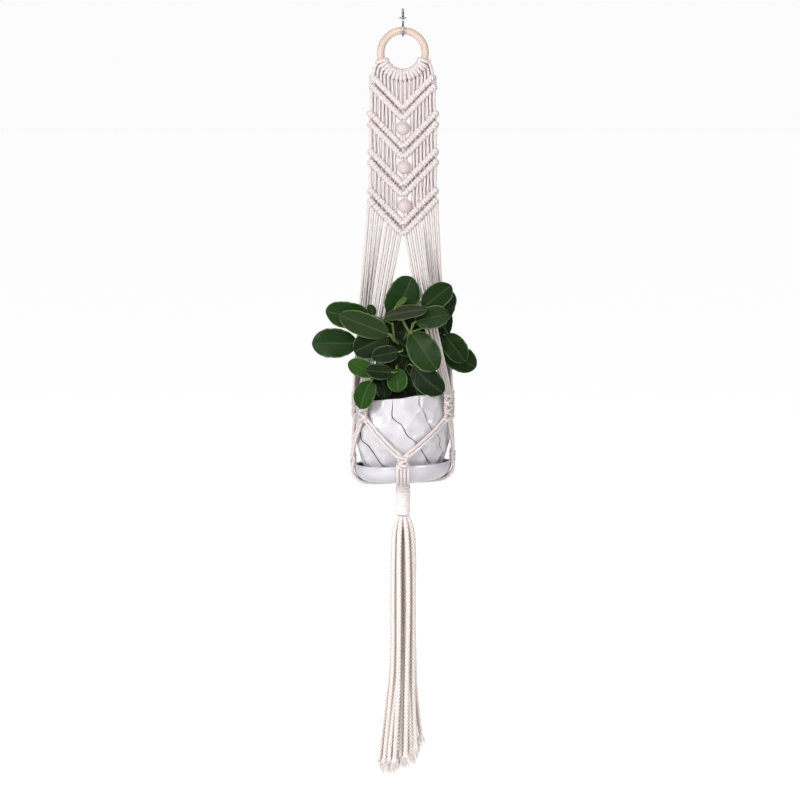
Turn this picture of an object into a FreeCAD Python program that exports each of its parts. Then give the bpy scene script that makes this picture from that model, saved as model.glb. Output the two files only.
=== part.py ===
"""Hanging macrame planter: hook, wooden ring, knotted panel, cradle, tassel, pot and plant.

Millimetres, +Z up, the front is -Y. The origin is on the ceiling plane, at the middle of
the top face of the hook's collar, so everything but the hook's thread hangs below zero.
"""
import FreeCAD, Part
import math
import os

from FreeCAD import Placement, Rotation, Vector

DOWN = Vector(0, 0, -1)
UP = Vector(0, 0, 1)
FRONT = Vector(0, -1, 0)

doc = FreeCAD.newDocument("hanging_planter")
sheet = doc.addObject("Spreadsheet::Sheet", "Sizes")

# ---------------------------------------------------------------- driving dimensions
SIZES = {
    # hook: a screw-in cup hook
    "collar_radius": 5.0,
    "collar_thickness": 2.0,
    "thread_radius": 2.0,
    "thread_length": 12.0,
    "wire_radius": 1.4,
    "hook_radius": 7.2,
    "hook_centre_drop": 17.5,
    "hook_straight": 5.0,
    "prong_length": 3.0,
    # wooden ring, 70 mm outside and 50 mm inside
    "ring_centre_radius": 30.0,
    "ring_bar_radius": 5.0,
    "ring_centre_drop": 48.0,
    # cord
    "cord_diameter": 4.6,
    "tassel_cord_diameter": 7.0,
    # lark's heads on the ring's lower arc
    "knot_sleeve_radius": 9.6,
    "knot_pitch_angle": 18.4,
    "knot_half_angle": 8.6,
    "knot_clearance": 4.0,
    # panel of double half hitches
    "strand_pitch": 6.1,
    "panel_half_width": 48.0,
    "row_slope": 46.0,
    "row_radius": 4.95,
    "row_pitch": 10.0,
    "row_tip_gap": 0.15,
    # wooden beads
    "bead_radius": 9.75,
    "bead_bore_radius": 5.0,
    "bead_strand_pitch": 4.7,
    "bead_notch": 5.0,
    "bead_side_gap": 2.75,
    # square-knot sinnets and the cradle round the pot
    "upper_knot_top": 507.0,
    "upper_knot_length": 36.0,
    "upper_knot_width": 17.0,
    "knot_depth": 9.0,
    "upper_knot_radius": 69.3,
    "lower_knot_top": 588.0,
    "lower_knot_length": 15.0,
    "lower_knot_width": 14.0,
    "lower_knot_radius": 67.5,
    "cradle_radius": 68.0,
    "leg_pitch": 4.9,
    "pair_pitch": 4.9,
    "saucer_cord_pitch": 4.75,
    # pot
    "pot_rim_drop": 513.5,
    "pot_base_drop": 621.2,
    "pot_rim_radius": 61.0,
    "pot_belly_radius": 64.0,
    "pot_foot_radius": 44.0,
    "pot_wall": 5.0,
    "soil_drop": 519.0,
    "soil_clearance": 0.05,
    # saucer
    "saucer_rim_drop": 604.0,
    "saucer_floor_drop": 621.5,
    "saucer_foot_drop": 626.0,
    "saucer_rim_radius": 66.0,
    "saucer_foot_radius": 46.0,
    "saucer_wall": 4.0,
    # gathering wrap and tassel
    "wrap_radius": 9.75,
    "neck_pivot_drop": 640.5,
    "wrap_bottom_drop": 676.0,
    # plant
    "leaf_thickness": 1.6,
    "petiole_radius": 1.2,
    "stem_radius": 2.6,
}

for row, (alias, value) in enumerate(SIZES.items(), start=1):
    sheet.set("A%d" % row, alias)
    sheet.set("B%d" % row, str(value))
    sheet.setAlias("B%d" % row, alias)
doc.recompute()


def size(alias):
    """A driving dimension, read back from the sheet."""
    return float(getattr(sheet, alias))


CORD = size("cord_diameter")
SLOPE = math.tan(math.radians(size("row_slope")))
ROW_RISE = 0.5 * size("row_pitch") / math.cos(math.radians(size("row_slope")))

# drop of each chevron's middle line at its point, and of the beads between them
CHEVRON_DROPS = (129.2, 181.6, 232.8, 285.6)
BEADS = ((0.0, 149.5), (1.8, 202.0), (2.4, 254.0))     # (sideways shift, drop)

# azimuth of each knot, from the front (-Y) towards +X
UPPER_KNOTS = {"front_left": -50.0, "front_right": 60.0, "back_right": 112.0, "back_left": -112.0}
LOWER_KNOTS = {"front": 0.0, "right": 88.0, "back": 180.0, "left": -88.0}

nodes = {}


def publish(name, shape_or_object):
    """Registers a sub-part: an object of the document, or a shape for a Part::Feature."""
    if isinstance(shape_or_object, Part.Shape):
        feature = doc.addObject("Part::Feature", name)
        feature.Shape = shape_or_object
        feature.Placement = Placement()
    else:
        feature = shape_or_object
    feature.Label = name
    nodes[name] = feature
    return feature


# ---------------------------------------------------------------- shared shape helpers
def around(azimuth, radius, z, sideways=0.0):
    """A point at an azimuth from the front, shifted along the tangent by sideways."""
    turn = math.radians(azimuth)
    outward = Vector(math.sin(turn), -math.cos(turn), 0)
    tangent = Vector(math.cos(turn), math.sin(turn), 0)
    return outward * radius + tangent * sideways + Vector(0, 0, z)


def rounded_path(points):
    """A wire of straight runs joined by tangent arcs, with the arcs' radii."""
    edges = []
    radii = []
    start = points[0]
    for before, corner, after in zip(points, points[1:], points[2:]):
        towards = (before - corner).normalize()
        away = (after - corner).normalize()
        half_turn = 0.5 * (math.pi - towards.getAngle(away))
        shorter = min((before - corner).Length, (after - corner).Length)
        cut = 0.45 * shorter
        radius = cut / math.tan(half_turn)
        first = corner + towards * cut
        last = corner + away * cut
        bisector = (towards + away).normalize()
        middle = corner + bisector * (radius / math.cos(half_turn) - radius)
        edges.append(Part.LineSegment(start, first).toShape())
        edges.append(Part.Arc(first, middle, last).toShape())
        radii.append(radius)
        start = last
    edges.append(Part.LineSegment(start, points[-1]).toShape())
    return Part.Wire(edges), radii


def tube(points, diameter):
    """A round cord along straight runs and tangent arcs; returns it with the arcs' radii."""
    if len(points) == 2:
        span = points[1] - points[0]
        return Part.makeCylinder(0.5 * diameter, span.Length, points[0], span), []
    path, radii = rounded_path(points)
    tangent = points[1] - points[0]
    section = Part.Wire(Part.makeCircle(0.5 * diameter, points[0], tangent))
    solid = path.makePipeShell([section], True, False)
    expected = math.pi * 0.25 * diameter ** 2 * path.Length
    if abs(solid.Volume - expected) > 0.02 * expected:
        raise RuntimeError("a cord's volume is %.0f, not %.0f" % (solid.Volume, expected))
    return solid, radii


def cord(points, diameter=CORD):
    return tube(points, diameter)[0]


def biggest(shape):
    return max(shape.Solids, key=lambda solid: solid.Volume)


def clear_of(cords, others):
    """Ends each cord at the solids it runs into, and at the cords before it."""
    kept = []
    for piece in cords:
        near = [o for o in list(others) + kept if o.BoundBox.intersect(piece.BoundBox)]
        kept.append(biggest(piece.cut(near)) if near else piece)
    return kept


def role_plane(body, role):
    return next(f for f in body.Origin.OriginFeatures if f.Role == role)


def revolved_body(name, outline):
    """A PartDesign body revolved round Z; outline adds its geometry to the sketch."""
    body = doc.addObject("PartDesign::Body", name)
    sketch = body.newObject("Sketcher::SketchObject", name + "_profile")
    sketch.AttachmentSupport = [(role_plane(body, "XZ_Plane"), "")]
    sketch.MapMode = "FlatFace"
    outline(sketch)
    turn = body.newObject("PartDesign::Revolution", name + "_revolution")
    turn.Profile = sketch
    turn.ReferenceAxis = (sketch, ["V_Axis"])
    turn.Angle = 360.0
    body.Tip = turn
    return body


def sketch_outline(sketch, points, bulges=()):
    """A closed outline of lines; a run named in bulges is an arc through the given point."""
    arcs = dict(bulges)
    for index, start in enumerate(points):
        end = points[(index + 1) % len(points)]
        a = Vector(start[0], start[1], 0)
        b = Vector(end[0], end[1], 0)
        if index in arcs:
            via = Vector(arcs[index][0], arcs[index][1], 0)
            sketch.addGeometry(Part.Arc(a, via, b), False)
        else:
            sketch.addGeometry(Part.LineSegment(a, b), False)


# ---------------------------------------------------------------- hook
def make_hook():
    """A collar, a threaded shank above it and a wire that curls round the ring's bar."""
    straight = size("hook_straight")
    bend = size("hook_radius")
    centre = Vector(0, 0, -size("hook_centre_drop"))
    depth = size("hook_centre_drop") - straight
    throat = (depth ** 2 - bend ** 2) / (2 * bend)
    lean = math.acos(throat / (throat + bend))

    def on_throat(turn):
        return Vector(0, throat - throat * math.cos(turn), -straight - throat * math.sin(turn))

    def on_bend(turn):
        return centre + Vector(0, bend * math.cos(turn), bend * math.sin(turn))

    prong_turn = math.radians(-188.0)
    prong_start = on_bend(prong_turn)
    prong_way = Vector(0, math.sin(prong_turn), -math.cos(prong_turn))
    top = Vector(0, 0, -0.5 * size("collar_thickness"))
    path = Part.Wire([
        Part.LineSegment(top, on_throat(0)).toShape(),
        Part.Arc(on_throat(0), on_throat(0.5 * lean), on_throat(lean)).toShape(),
        Part.Arc(on_bend(lean), on_bend(0.5 * (lean + prong_turn)), prong_start).toShape(),
        Part.LineSegment(prong_start, prong_start + prong_way * size("prong_length")).toShape(),
    ])
    section = Part.Wire(Part.makeCircle(size("wire_radius"), top, DOWN))
    wire = path.makePipeShell([section], True, False)
    tip = Part.makeSphere(size("wire_radius"), prong_start + prong_way * size("prong_length"))

    collar = doc.addObject("Part::Cylinder", "hook_collar")
    collar.setExpression("Radius", "Sizes.collar_radius")
    collar.setExpression("Height", "Sizes.collar_thickness")
    collar.setExpression("Placement.Base.z", "-Sizes.collar_thickness")
    thread = doc.addObject("Part::Cylinder", "hook_thread")
    thread.setExpression("Radius", "Sizes.thread_radius")
    thread.setExpression("Height", "Sizes.thread_length")
    doc.recompute()
    curl = doc.addObject("Part::Feature", "hook_wire")
    curl.Shape = wire.fuse(tip).removeSplitter()
    hook = doc.addObject("Part::MultiFuse", "ceiling_hook_solid")
    hook.Shapes = [collar, thread, curl]
    publish("ceiling_hook", hook)


# ---------------------------------------------------------------- ring and lark's heads
def make_ring():
    ring = doc.addObject("Part::Torus", "wooden_ring_torus")
    ring.setExpression("Radius1", "Sizes.ring_centre_radius")
    ring.setExpression("Radius2", "Sizes.ring_bar_radius")
    ring.Placement = Placement(Vector(0, 0, -size("ring_centre_drop")), Rotation(Vector(1, 0, 0), 90))
    publish("wooden_ring", ring)


def knot_angles():
    """Each lark's head's place on the ring, in degrees from +X, left to right."""
    return [-90.0 + (i - 3.5) * size("knot_pitch_angle") for i in range(8)]


def on_ring(angle, radius):
    turn = math.radians(angle)
    return Vector(radius * math.cos(turn), 0, radius * math.sin(turn) - size("ring_centre_drop"))


def make_larks_heads():
    """Eight sleeves of folded cord, each following the ring's bar for a short arc."""
    hub = Vector(0, 0, -size("ring_centre_drop"))
    sleeves = []
    for angle in knot_angles():
        first = angle - size("knot_half_angle")
        turn = math.radians(first)
        along = Vector(-math.sin(turn), 0, math.cos(turn))
        place = on_ring(first, size("ring_centre_radius"))
        bands = []
        for radius in (size("knot_sleeve_radius"), size("ring_bar_radius") + 0.02):
            disc = Part.Face(Part.Wire(Part.makeCircle(radius, place, along)))
            bands.append(disc.revolve(hub, FRONT, 2 * size("knot_half_angle")))
        sleeves.append(bands[0].cut(bands[1]).Solids[0])
    publish("larks_head_knots", Part.makeCompound(sleeves))


# ---------------------------------------------------------------- panel
def row_height(drop, x, side):
    """Height of a hitch row's centre line at x: side is 1 for the upper row, -1 below."""
    return -drop + abs(x) * SLOPE + side * ROW_RISE


def hitch_row(drop, side, hand, inner):
    """Half a V: a bar of wrapped hitches from inner to the panel's edge."""
    reach = size("panel_half_width") + 20.0
    start = Vector(0, 0, row_height(drop, 0, side))
    way = Vector(hand, 0, SLOPE)
    bar = Part.makeCylinder(size("row_radius"), 2 * reach, start - way * 20.0, way)
    width = size("panel_half_width") - inner
    left = inner if hand > 0 else -size("panel_half_width")
    window = Part.makeBox(width, 40, 400, Vector(left, -20, start.z - 60))
    return bar.common(window).Solids[0]


def chevron_rows(index):
    """The four half rows of one chevron; a bead's strands pass between the lower two."""
    drop = CHEVRON_DROPS[index]
    gap = size("row_tip_gap")
    rows = [hitch_row(drop, 1, 1, gap), hitch_row(drop, 1, -1, gap)]
    notch = size("bead_notch") if index < len(BEADS) else gap
    shift = BEADS[index][0] if index < len(BEADS) else 0.0
    rows.append(hitch_row(drop, -1, 1, notch + shift))
    rows.append(hitch_row(drop, -1, -1, notch - shift))
    return rows


def strand_x(hand, order):
    return hand * (0.5 + order) * size("strand_pitch")


def ring_strands(rows):
    """Sixteen strands from just below the lark's heads to the first chevron."""
    start_radius = size("ring_centre_radius") + size("knot_sleeve_radius") + size("knot_clearance")
    half_knot = 4.4
    strands = []
    for hand in (-1, 1):
        for order in range(8):
            knot = 4 + order // 2
            spread = half_knot * (1 if order % 2 else -1)
            angle = knot_angles()[knot] + spread
            start = on_ring(angle, start_radius)
            start.x *= hand
            x = strand_x(hand, order)
            end = Vector(x, 0, row_height(CHEVRON_DROPS[0], x, 1))
            strands.append(cord([start, end]))
    return clear_of(strands, rows)


def gap_strands(index, rows):
    """Strands between two chevrons: two carry the bead, seven pass it on each side."""
    shift, _ = BEADS[index]
    upper = CHEVRON_DROPS[index]
    lower = CHEVRON_DROPS[index + 1]
    strands = []
    for hand in (-1, 1):
        x = shift + hand * 0.5 * size("bead_strand_pitch")
        top = Vector(x, 0, row_height(upper, x, 1))
        strands.append(cord([top, Vector(x, 0, row_height(lower, x, 1))]))
    clearance = size("bead_radius") + size("bead_side_gap")
    outermost = strand_x(1, 7) - 1.0
    for hand in (-1, 1):
        innermost = clearance + hand * shift
        pitch = (outermost - innermost) / 6
        for order in range(7):
            x = hand * (innermost + order * pitch)
            top = Vector(x, 0, row_height(upper, x, -1))
            strands.append(cord([top, Vector(x, 0, row_height(lower, x, 1))]))
    return clear_of(strands, rows)


def make_panel():
    chevrons = [chevron_rows(index) for index in range(len(CHEVRON_DROPS))]
    for index, rows in enumerate(chevrons):
        publish("chevron_%d" % (index + 1), Part.makeCompound(rows))
    publish("panel_strands_1", Part.makeCompound(ring_strands(chevrons[0])))
    for index in range(len(BEADS)):
        strands = gap_strands(index, chevrons[index] + chevrons[index + 1])
        publish("panel_strands_%d" % (index + 2), Part.makeCompound(strands))
    return chevrons[-1]


def make_beads():
    for index, (shift, drop) in enumerate(BEADS):
        ball = doc.addObject("Part::Sphere", "bead_ball_%d" % (index + 1))
        ball.setExpression("Radius", "Sizes.bead_radius")
        ball.Placement.Base = Vector(shift, 0, -drop)
        bore = doc.addObject("Part::Cylinder", "bead_bore_%d" % (index + 1))
        bore.setExpression("Radius", "Sizes.bead_bore_radius")
        bore.setExpression("Height", "3 * Sizes.bead_radius")
        bore.Placement.Base = Vector(shift, 0, -drop - 1.5 * size("bead_radius"))
        bead = doc.addObject("Part::Cut", "bead_cut_%d" % (index + 1))
        bead.Base = ball
        bead.Tool = bore
        publish("bead_%d" % (index + 1), bead)


# ---------------------------------------------------------------- knots and cradle
def make_knots(table, prefix, top, length, width, radius):
    """Square-knot blocks standing round the pot, with their long edges rounded."""
    shapes = {}
    for name, azimuth in table.items():
        block = doc.addObject("Part::Box", prefix + name + "_block")
        block.setExpression("Length", "Sizes." + width)
        block.setExpression("Width", "Sizes.knot_depth")
        block.setExpression("Height", "Sizes." + length)
        spin = Rotation(UP, azimuth)
        corner = Vector(-0.5 * size(width), -0.5 * size("knot_depth"), 0)
        middle = around(azimuth, size(radius), -size(top) - size(length))
        block.Placement = Placement(middle + spin.multVec(corner), spin)
        doc.recompute()
        rounded = doc.addObject("Part::Fillet", prefix + name + "_fillet")
        rounded.Base = block
        upright = [i for i, e in enumerate(block.Shape.Edges, start=1) if abs(e.tangentAt(0).z) > 0.9]
        rounded.Edges = [(i, 3.0, 3.0) for i in upright]
        doc.recompute()
        shapes[name] = rounded.Shape
        publish(prefix + name, rounded)
    return shapes


# strands that make up each leg: hand, first strand, order across the knot, sideways bow
LEGS = {
    "front_left": (-1, 0, -1, 0.0),
    "front_right": (1, 0, 1, -4.5),
    "back_left": (-1, 4, 1, 0.0),
    "back_right": (1, 4, -1, -3.5),
}


def make_legs(last_rows, upper_knots):
    """Four legs of four strands, from the last chevron down to the upper knots."""
    last_drop = CHEVRON_DROPS[-1]
    for name, (hand, first, across, bow) in LEGS.items():
        strands = []
        for order in range(4):
            x = strand_x(hand, first + order)
            start = Vector(x, 0, row_height(last_drop, x, -1))
            sideways = across * (order - 1.5) * size("leg_pitch")
            end = around(UPPER_KNOTS[name], size("upper_knot_radius"), -size("upper_knot_top"), sideways)
            points = [start, end]
            if bow:
                middle = start + (end - start) * 0.42 + Vector(bow, 0, 0)
                points = [start, middle, end]
            strands.append(cord(points))
        obstacles = list(last_rows) + [upper_knots[name]]
        publish("leg_" + name, Part.makeCompound(clear_of(strands, obstacles)))


# which lower knots each upper knot's two pairs run to, left pair first seen from outside
CRADLE = {
    "front_left": ("left", "front"),
    "front_right": ("front", "right"),
    "back_right": ("right", "back"),
    "back_left": ("back", "left"),
}


def unroll(azimuth, reference):
    """An azimuth as an arc length along the cradle, the short way from a reference."""
    turn = (azimuth - reference + 180.0) % 360.0 - 180.0
    return math.radians(turn) * size("cradle_radius")


def cradle_pair(upper, lower):
    """Two cords side by side over the pot's belly, from an upper to a lower knot."""
    reach = unroll(lower, upper)
    hand = 1 if reach > 0 else -1
    top = (hand * 5.5, -size("upper_knot_top") - size("upper_knot_length") + 1.0)
    bottom = (reach - hand * 4.5, -size("lower_knot_top") - 1.0)
    run = (bottom[0] - top[0], bottom[1] - top[1])
    length = math.hypot(run[0], run[1])
    normal = (-run[1] / length, run[0] / length)
    pair = []
    for side in (-0.5, 0.5):
        shift = side * size("pair_pitch")
        points = []
        for step in range(5):
            arc = top[0] + run[0] * step / 4 + normal[0] * shift
            z = top[1] + run[1] * step / 4 + normal[1] * shift
            azimuth = upper + math.degrees(arc / size("cradle_radius"))
            points.append(around(azimuth, size("cradle_radius"), z))
        pair.append(cord(points))
    return pair


def make_cradle(upper_knots, lower_knots):
    knots = list(upper_knots.values()) + list(lower_knots.values())
    made = []
    for name, targets in CRADLE.items():
        cords = []
        for target in targets:
            cords += cradle_pair(UPPER_KNOTS[name], LOWER_KNOTS[target])
        cords = clear_of(cords, knots + made)
        made += cords
        publish("cradle_cords_" + name, Part.makeCompound(cords))
    return made


def saucer_cord_route(azimuth, sideways):
    """Over the saucer's rim, down its side and in beneath its foot."""
    stations = ((67.6, 603.0), (69.6, 608.0), (67.6, 617.5), (58.0, 626.5), (44.0, 628.9), (12.2, 628.75))
    return [around(azimuth, radius, -drop, sideways) for radius, drop in stations]


def make_saucer_cords(lower_knots, cradle_cords):
    made = list(cradle_cords)
    for name, azimuth in LOWER_KNOTS.items():
        cords = []
        for order in range(4):
            sideways = (order - 1.5) * size("saucer_cord_pitch")
            cords.append(cord(saucer_cord_route(azimuth, sideways)))
        cords = clear_of(cords, list(lower_knots.values()) + made)
        made += cords
        publish("saucer_cords_" + name, Part.makeCompound(cords))


# ---------------------------------------------------------------- pot, saucer, potting mix
def make_pot():
    """A bowl-shaped pot, rounded at the belly, open at the top."""
    rim = -size("pot_rim_drop")
    base = -size("pot_base_drop")
    wall = size("pot_wall")
    foot = size("pot_foot_radius")
    shoulder = size("pot_rim_radius")
    belly = size("pot_belly_radius")

    def outline(sketch):
        points = ((0, base), (foot, base), (shoulder, rim), (shoulder - wall, rim),
                  (foot - wall, base + wall), (0, base + wall))
        bulges = {1: (belly - 0.9, -563.0), 3: (belly - 0.9 - wall, -563.0)}
        sketch_outline(sketch, points, bulges.items())

    publish("pot", revolved_body("pot_body", outline))


def make_potting_mix(pot_shape):
    """The potting mix fills the pot to a little below its rim."""
    drop = size("soil_drop")
    base = -size("pot_base_drop") + size("pot_wall") + size("soil_clearance")
    height = -drop - base
    plug = Part.makeCylinder(size("pot_belly_radius"), height, Vector(0, 0, base))
    filled = plug.cut(pot_shape)
    core = min(filled.Solids, key=lambda solid: solid.BoundBox.XLength)
    publish("potting_mix", core)


def make_saucer():
    rim = -size("saucer_rim_drop")
    floor = -size("saucer_floor_drop")
    foot = -size("saucer_foot_drop")
    wall = size("saucer_wall")
    outer = size("saucer_rim_radius")
    inner_foot = size("saucer_foot_radius")

    def outline(sketch):
        points = ((0, foot), (inner_foot, foot), (outer, rim), (outer - wall, rim),
                  (inner_foot + 2.0, floor), (0, floor))
        bulges = {1: (60.6, -618.4), 3: (58.6, -613.8)}
        sketch_outline(sketch, points, bulges.items())

    publish("saucer", revolved_body("saucer_body", outline))


# ---------------------------------------------------------------- neck and tassel
def make_wrap():
    """The gathering wrap: a cylinder whose domed top is centred on its pivot."""
    radius = size("wrap_radius")
    pivot = -size("neck_pivot_drop")
    bottom = -size("wrap_bottom_drop")

    def outline(sketch):
        points = ((0, bottom), (radius, bottom), (radius, pivot), (0, pivot + radius))
        half = math.sqrt(0.5) * radius
        sketch_outline(sketch, points, {2: (half, pivot + half)}.items())

    publish("gathering_wrap", revolved_body("gathering_wrap_body", outline))


# Route of each tassel strand: (x, y, drop), from below the wrap to its cut end.
TASSEL_ROUTES = (
    ((13.6, 0.0, 685), (15.8, 0.6, 730), (15.2, -0.5, 800), (16.0, 0.4, 880), (18.6, 0.2, 940), (23.5, -0.6, 992)),
    ((11.0, 8.0, 685), (12.2, 9.3, 730), (13.0, 8.9, 800), (12.4, 9.5, 880), (14.3, 10.9, 942), (18.0, 13.2, 1000)),
    ((4.2, 12.9, 685), (5.1, 14.6, 730), (4.4, 15.0, 800), (5.2, 14.7, 880), (5.2, 17.3, 946), (7.2, 20.6, 1008)),
    ((-4.2, 12.9, 685), (-4.6, 14.9, 730), (-5.3, 14.5, 800), (-4.5, 15.1, 880), (-5.8, 17.0, 948), (-6.4, 21.2, 1014)),
    ((-11.0, 8.0, 685), (-12.8, 8.8, 730), (-12.2, 9.5, 800), (-12.9, 8.8, 880), (-14.7, 10.4, 950), (-17.4, 13.4, 1018)),
    ((-13.6, 0.0, 685), (-15.2, -0.5, 730), (-15.9, 0.4, 800), (-15.3, -0.4, 880), (-18.3, 0.5, 950), (-22.6, -0.5, 1018)),
    ((-11.0, -8.0, 685), (-12.2, -9.4, 730), (-12.9, -8.8, 800), (-12.4, -9.5, 880), (-14.2, -11.0, 950), (-18.4, -12.9, 1020)),
    ((-4.2, -12.9, 685), (-5.1, -14.5, 730), (-4.5, -15.1, 800), (-5.2, -14.6, 880), (-5.0, -17.4, 950), (-7.3, -20.6, 1018)),
    ((4.2, -12.9, 685), (4.6, -14.9, 730), (5.3, -14.5, 800), (4.5, -15.1, 880), (5.9, -16.9, 946), (6.3, -21.2, 1010)),
    ((11.0, -8.0, 685), (12.8, -8.8, 730), (12.3, -9.4, 800), (12.9, -8.9, 880), (14.7, -10.5, 942), (17.8, -13.6, 1000)),
    ((6.8, 2.2, 685), (7.4, 2.1, 730), (7.1, 2.6, 800), (7.4, 2.1, 880), (8.5, 2.9, 944), (10.6, 3.2, 1004)),
    ((0.0, 7.2, 685), (0.3, 7.7, 730), (-0.2, 7.5, 800), (0.3, 7.8, 880), (-0.2, 8.9, 948), (0.6, 11.2, 1012)),
    ((-6.8, 2.2, 685), (-7.2, 2.6, 730), (-7.4, 2.1, 800), (-7.1, 2.7, 880), (-8.6, 2.7, 950), (-10.5, 3.7, 1018)),
    ((-4.2, -5.8, 685), (-4.7, -6.0, 730), (-4.3, -6.4, 800), (-4.7, -6.0, 880), (-5.2, -7.4, 950), (-6.8, -8.8, 1016)),
    ((4.2, -5.8, 685), (4.3, -6.3, 730), (4.7, -6.0, 800), (4.3, -6.4, 880), (5.4, -7.2, 946), (6.5, -9.1, 1008)),
    ((0.0, 0.0, 685), (0.2, 0.1, 730), (-0.2, 0.1, 800), (0.1, -0.2, 880), (-0.1, 0.2, 946), (0.3, -0.3, 1010)),
)


def make_tassel():
    diameter = size("tassel_cord_diameter")
    for number, route in enumerate(TASSEL_ROUTES, start=1):
        points = [Vector(x, y, -drop) for x, y, drop in route]
        solid, radii = tube(points, diameter)
        print("tassel strand %02d: arc radii %s mm" % (number, ", ".join("%.0f" % r for r in radii)))
        publish("tassel_strand_%02d" % number, solid)


# ---------------------------------------------------------------- plant
# Stem joints: (x, y, height)
STEM = {
    "soil": (2.0, -4.0, -525.0),
    "low": (-2.0, -8.0, -480.0),
    "middle": (2.0, -14.0, -446.0),
    "fork": (9.0, -34.0, -424.0),
    "top": (-2.0, -33.0, -405.0),
    "left": (-12.0, -34.0, -434.0),
    "upper_left": (-14.0, -37.0, -412.0),
}
STEM_RUNS = (("soil", "low"), ("low", "middle"), ("middle", "fork"), ("fork", "top"),
             ("middle", "left"), ("left", "upper_left"))

# Leaves: group, stem joint, base and tip (x, y, height), width, roll about its length
LEAVES = (
    ("left", "middle", (-62, -17, -439), (-124, -8, -440), 39, 4),
    ("left", "upper_left", (-46, -34, -406), (-105, -27, -403), 27, -6),
    ("left", "left", (-21, -46, -431), (-84, -57, -408), 27, -4),
    ("left", "left", (-24, -40, -438), (-66, -45, -452), 33, 6),
    ("left", "upper_left", (-39, -33, -404), (-44, -33, -388), 12, 0),
    ("top", "top", (-16, -29, -400), (15, -27, -352), 41, 0),
    ("top", "top", (-20, -42, -404), (34, -47, -397), 25, -42),
    ("top", "top", (-10, -38, -389), (5, -39, -378), 7, 0),
    ("right", "fork", (29, -34, -391), (67, -37, -364), 29, 5),
    ("right", "fork", (50, -28, -409), (73, -27, -379), 25, 6),
    ("right", "fork", (20, -38, -418), (61, -43, -407), 28, -16),
    ("right", "middle", (60, -10, -428), (66, -15, -397), 14, 0),
    ("right", "middle", (58, -12, -432), (84, -20, -466), 27, 6),
    ("right", "middle", (56, -4, -461), (100, -3, -474), 30, 10),
    ("front", "fork", (12, -39, -427), (41, -60, -480), 37, 6),
    ("front", "low", (15, -39, -471), (54, -51, -506), 33, 4),
    ("front", "low", (-6, -40, -474), (-5, -51, -505), 26, 0),
    ("front", "middle", (-5, -44, -450), (-40, -52, -455), 21, 12),
    ("low", "low", (-42, -54, -490), (-56, -66, -527), 26, 4),
    ("low", "low", (-33, -36, -490), (-24, -42, -513), 17, 0),
    ("low", "low", (-40, -54, -474), (-73, -52, -468), 21, 18),
    ("low", "low", (-18, -52, -478), (-50, -60, -473), 18, 24),
    ("low", "low", (19, -34, -492), (34, -40, -513), 18, 0),
)
PETIOLE_GAP = 0.6


def leaf_frame(base, tip, roll):
    """Directions along a leaf, across it and out of its face."""
    along = (tip - base).normalize()
    across = along.cross(FRONT).normalize()
    face = across.cross(along).normalize()
    turn = Rotation(along, roll)
    return along, turn.multVec(across), turn.multVec(face)


def leaf_blade(base, tip, width, roll):
    """A flat elliptical blade of leaf thickness."""
    along, across, face = leaf_frame(base, tip, roll)
    length = (tip - base).Length
    long_side = max(length, width) * 0.5
    short_side = min(length, width) * 0.5
    major = along if length >= width else across
    start = (base + tip) * 0.5 - face * (0.5 * size("leaf_thickness"))
    ellipse = Part.Ellipse(start + major * long_side, start + face.cross(major) * short_side, start)
    blade = Part.Face(Part.Wire(ellipse.toShape()))
    return blade.extrude(face * size("leaf_thickness"))


def make_plant(potting_mix):
    """One woody stem with its forks and petioles, and the leaves in five groups."""
    joints = {name: Vector(*place) for name, place in STEM.items()}
    wood = []
    for start, end in STEM_RUNS:
        span = joints[end] - joints[start]
        wood.append(Part.makeCylinder(size("stem_radius"), span.Length, joints[start], span))
        wood.append(Part.makeSphere(size("stem_radius"), joints[end]))
    groups = {}
    for group, joint, base, tip, width, roll in LEAVES:
        foot = Vector(*base)
        point = Vector(*tip)
        groups.setdefault(group, []).append(leaf_blade(foot, point, width, roll))
        stalk = foot - joints[joint]
        reach = stalk.Length - PETIOLE_GAP
        wood.append(Part.makeCylinder(size("petiole_radius"), reach, joints[joint], stalk))
    stems = wood[0].multiFuse(wood[1:])
    stems = biggest(stems.cut(potting_mix))
    for group, blades in groups.items():
        clear = [biggest(blade.cut(stems)) for blade in blades]
        publish("leaves_" + group, Part.makeCompound(clear))
    publish("plant_stems", stems)


# ---------------------------------------------------------------- assembly
def build():
    make_hook()
    make_ring()
    make_larks_heads()
    last_rows = make_panel()
    make_beads()
    upper = make_knots(UPPER_KNOTS, "upper_knot_", "upper_knot_top", "upper_knot_length",
                       "upper_knot_width", "upper_knot_radius")
    lower = make_knots(LOWER_KNOTS, "lower_knot_", "lower_knot_top", "lower_knot_length",
                       "lower_knot_width", "lower_knot_radius")
    make_legs(last_rows, upper)
    cradle_cords = make_cradle(upper, lower)
    make_saucer_cords(lower, cradle_cords)
    make_pot()
    make_saucer()
    make_wrap()
    doc.recompute()
    make_potting_mix(nodes["pot"].Shape)
    make_tassel()
    make_plant(nodes["potting_mix"].Shape)
    doc.recompute()


def check():
    for thing in doc.Objects:
        if "Invalid" in thing.State or "Error" in thing.State:
            raise RuntimeError("%s failed to recompute" % thing.Label)
    for name, feature in nodes.items():
        if feature.Shape.isNull() or not feature.Shape.isValid() or not feature.Shape.Solids:
            raise RuntimeError("%s has no valid solid" % name)


def export():
    os.makedirs("parts", exist_ok=True)
    for name, feature in nodes.items():
        feature.Shape.exportStep("parts/%s.step" % name)
    print("%d sub-parts written" % len(nodes))


build()
check()
export()
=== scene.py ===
import math

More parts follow.
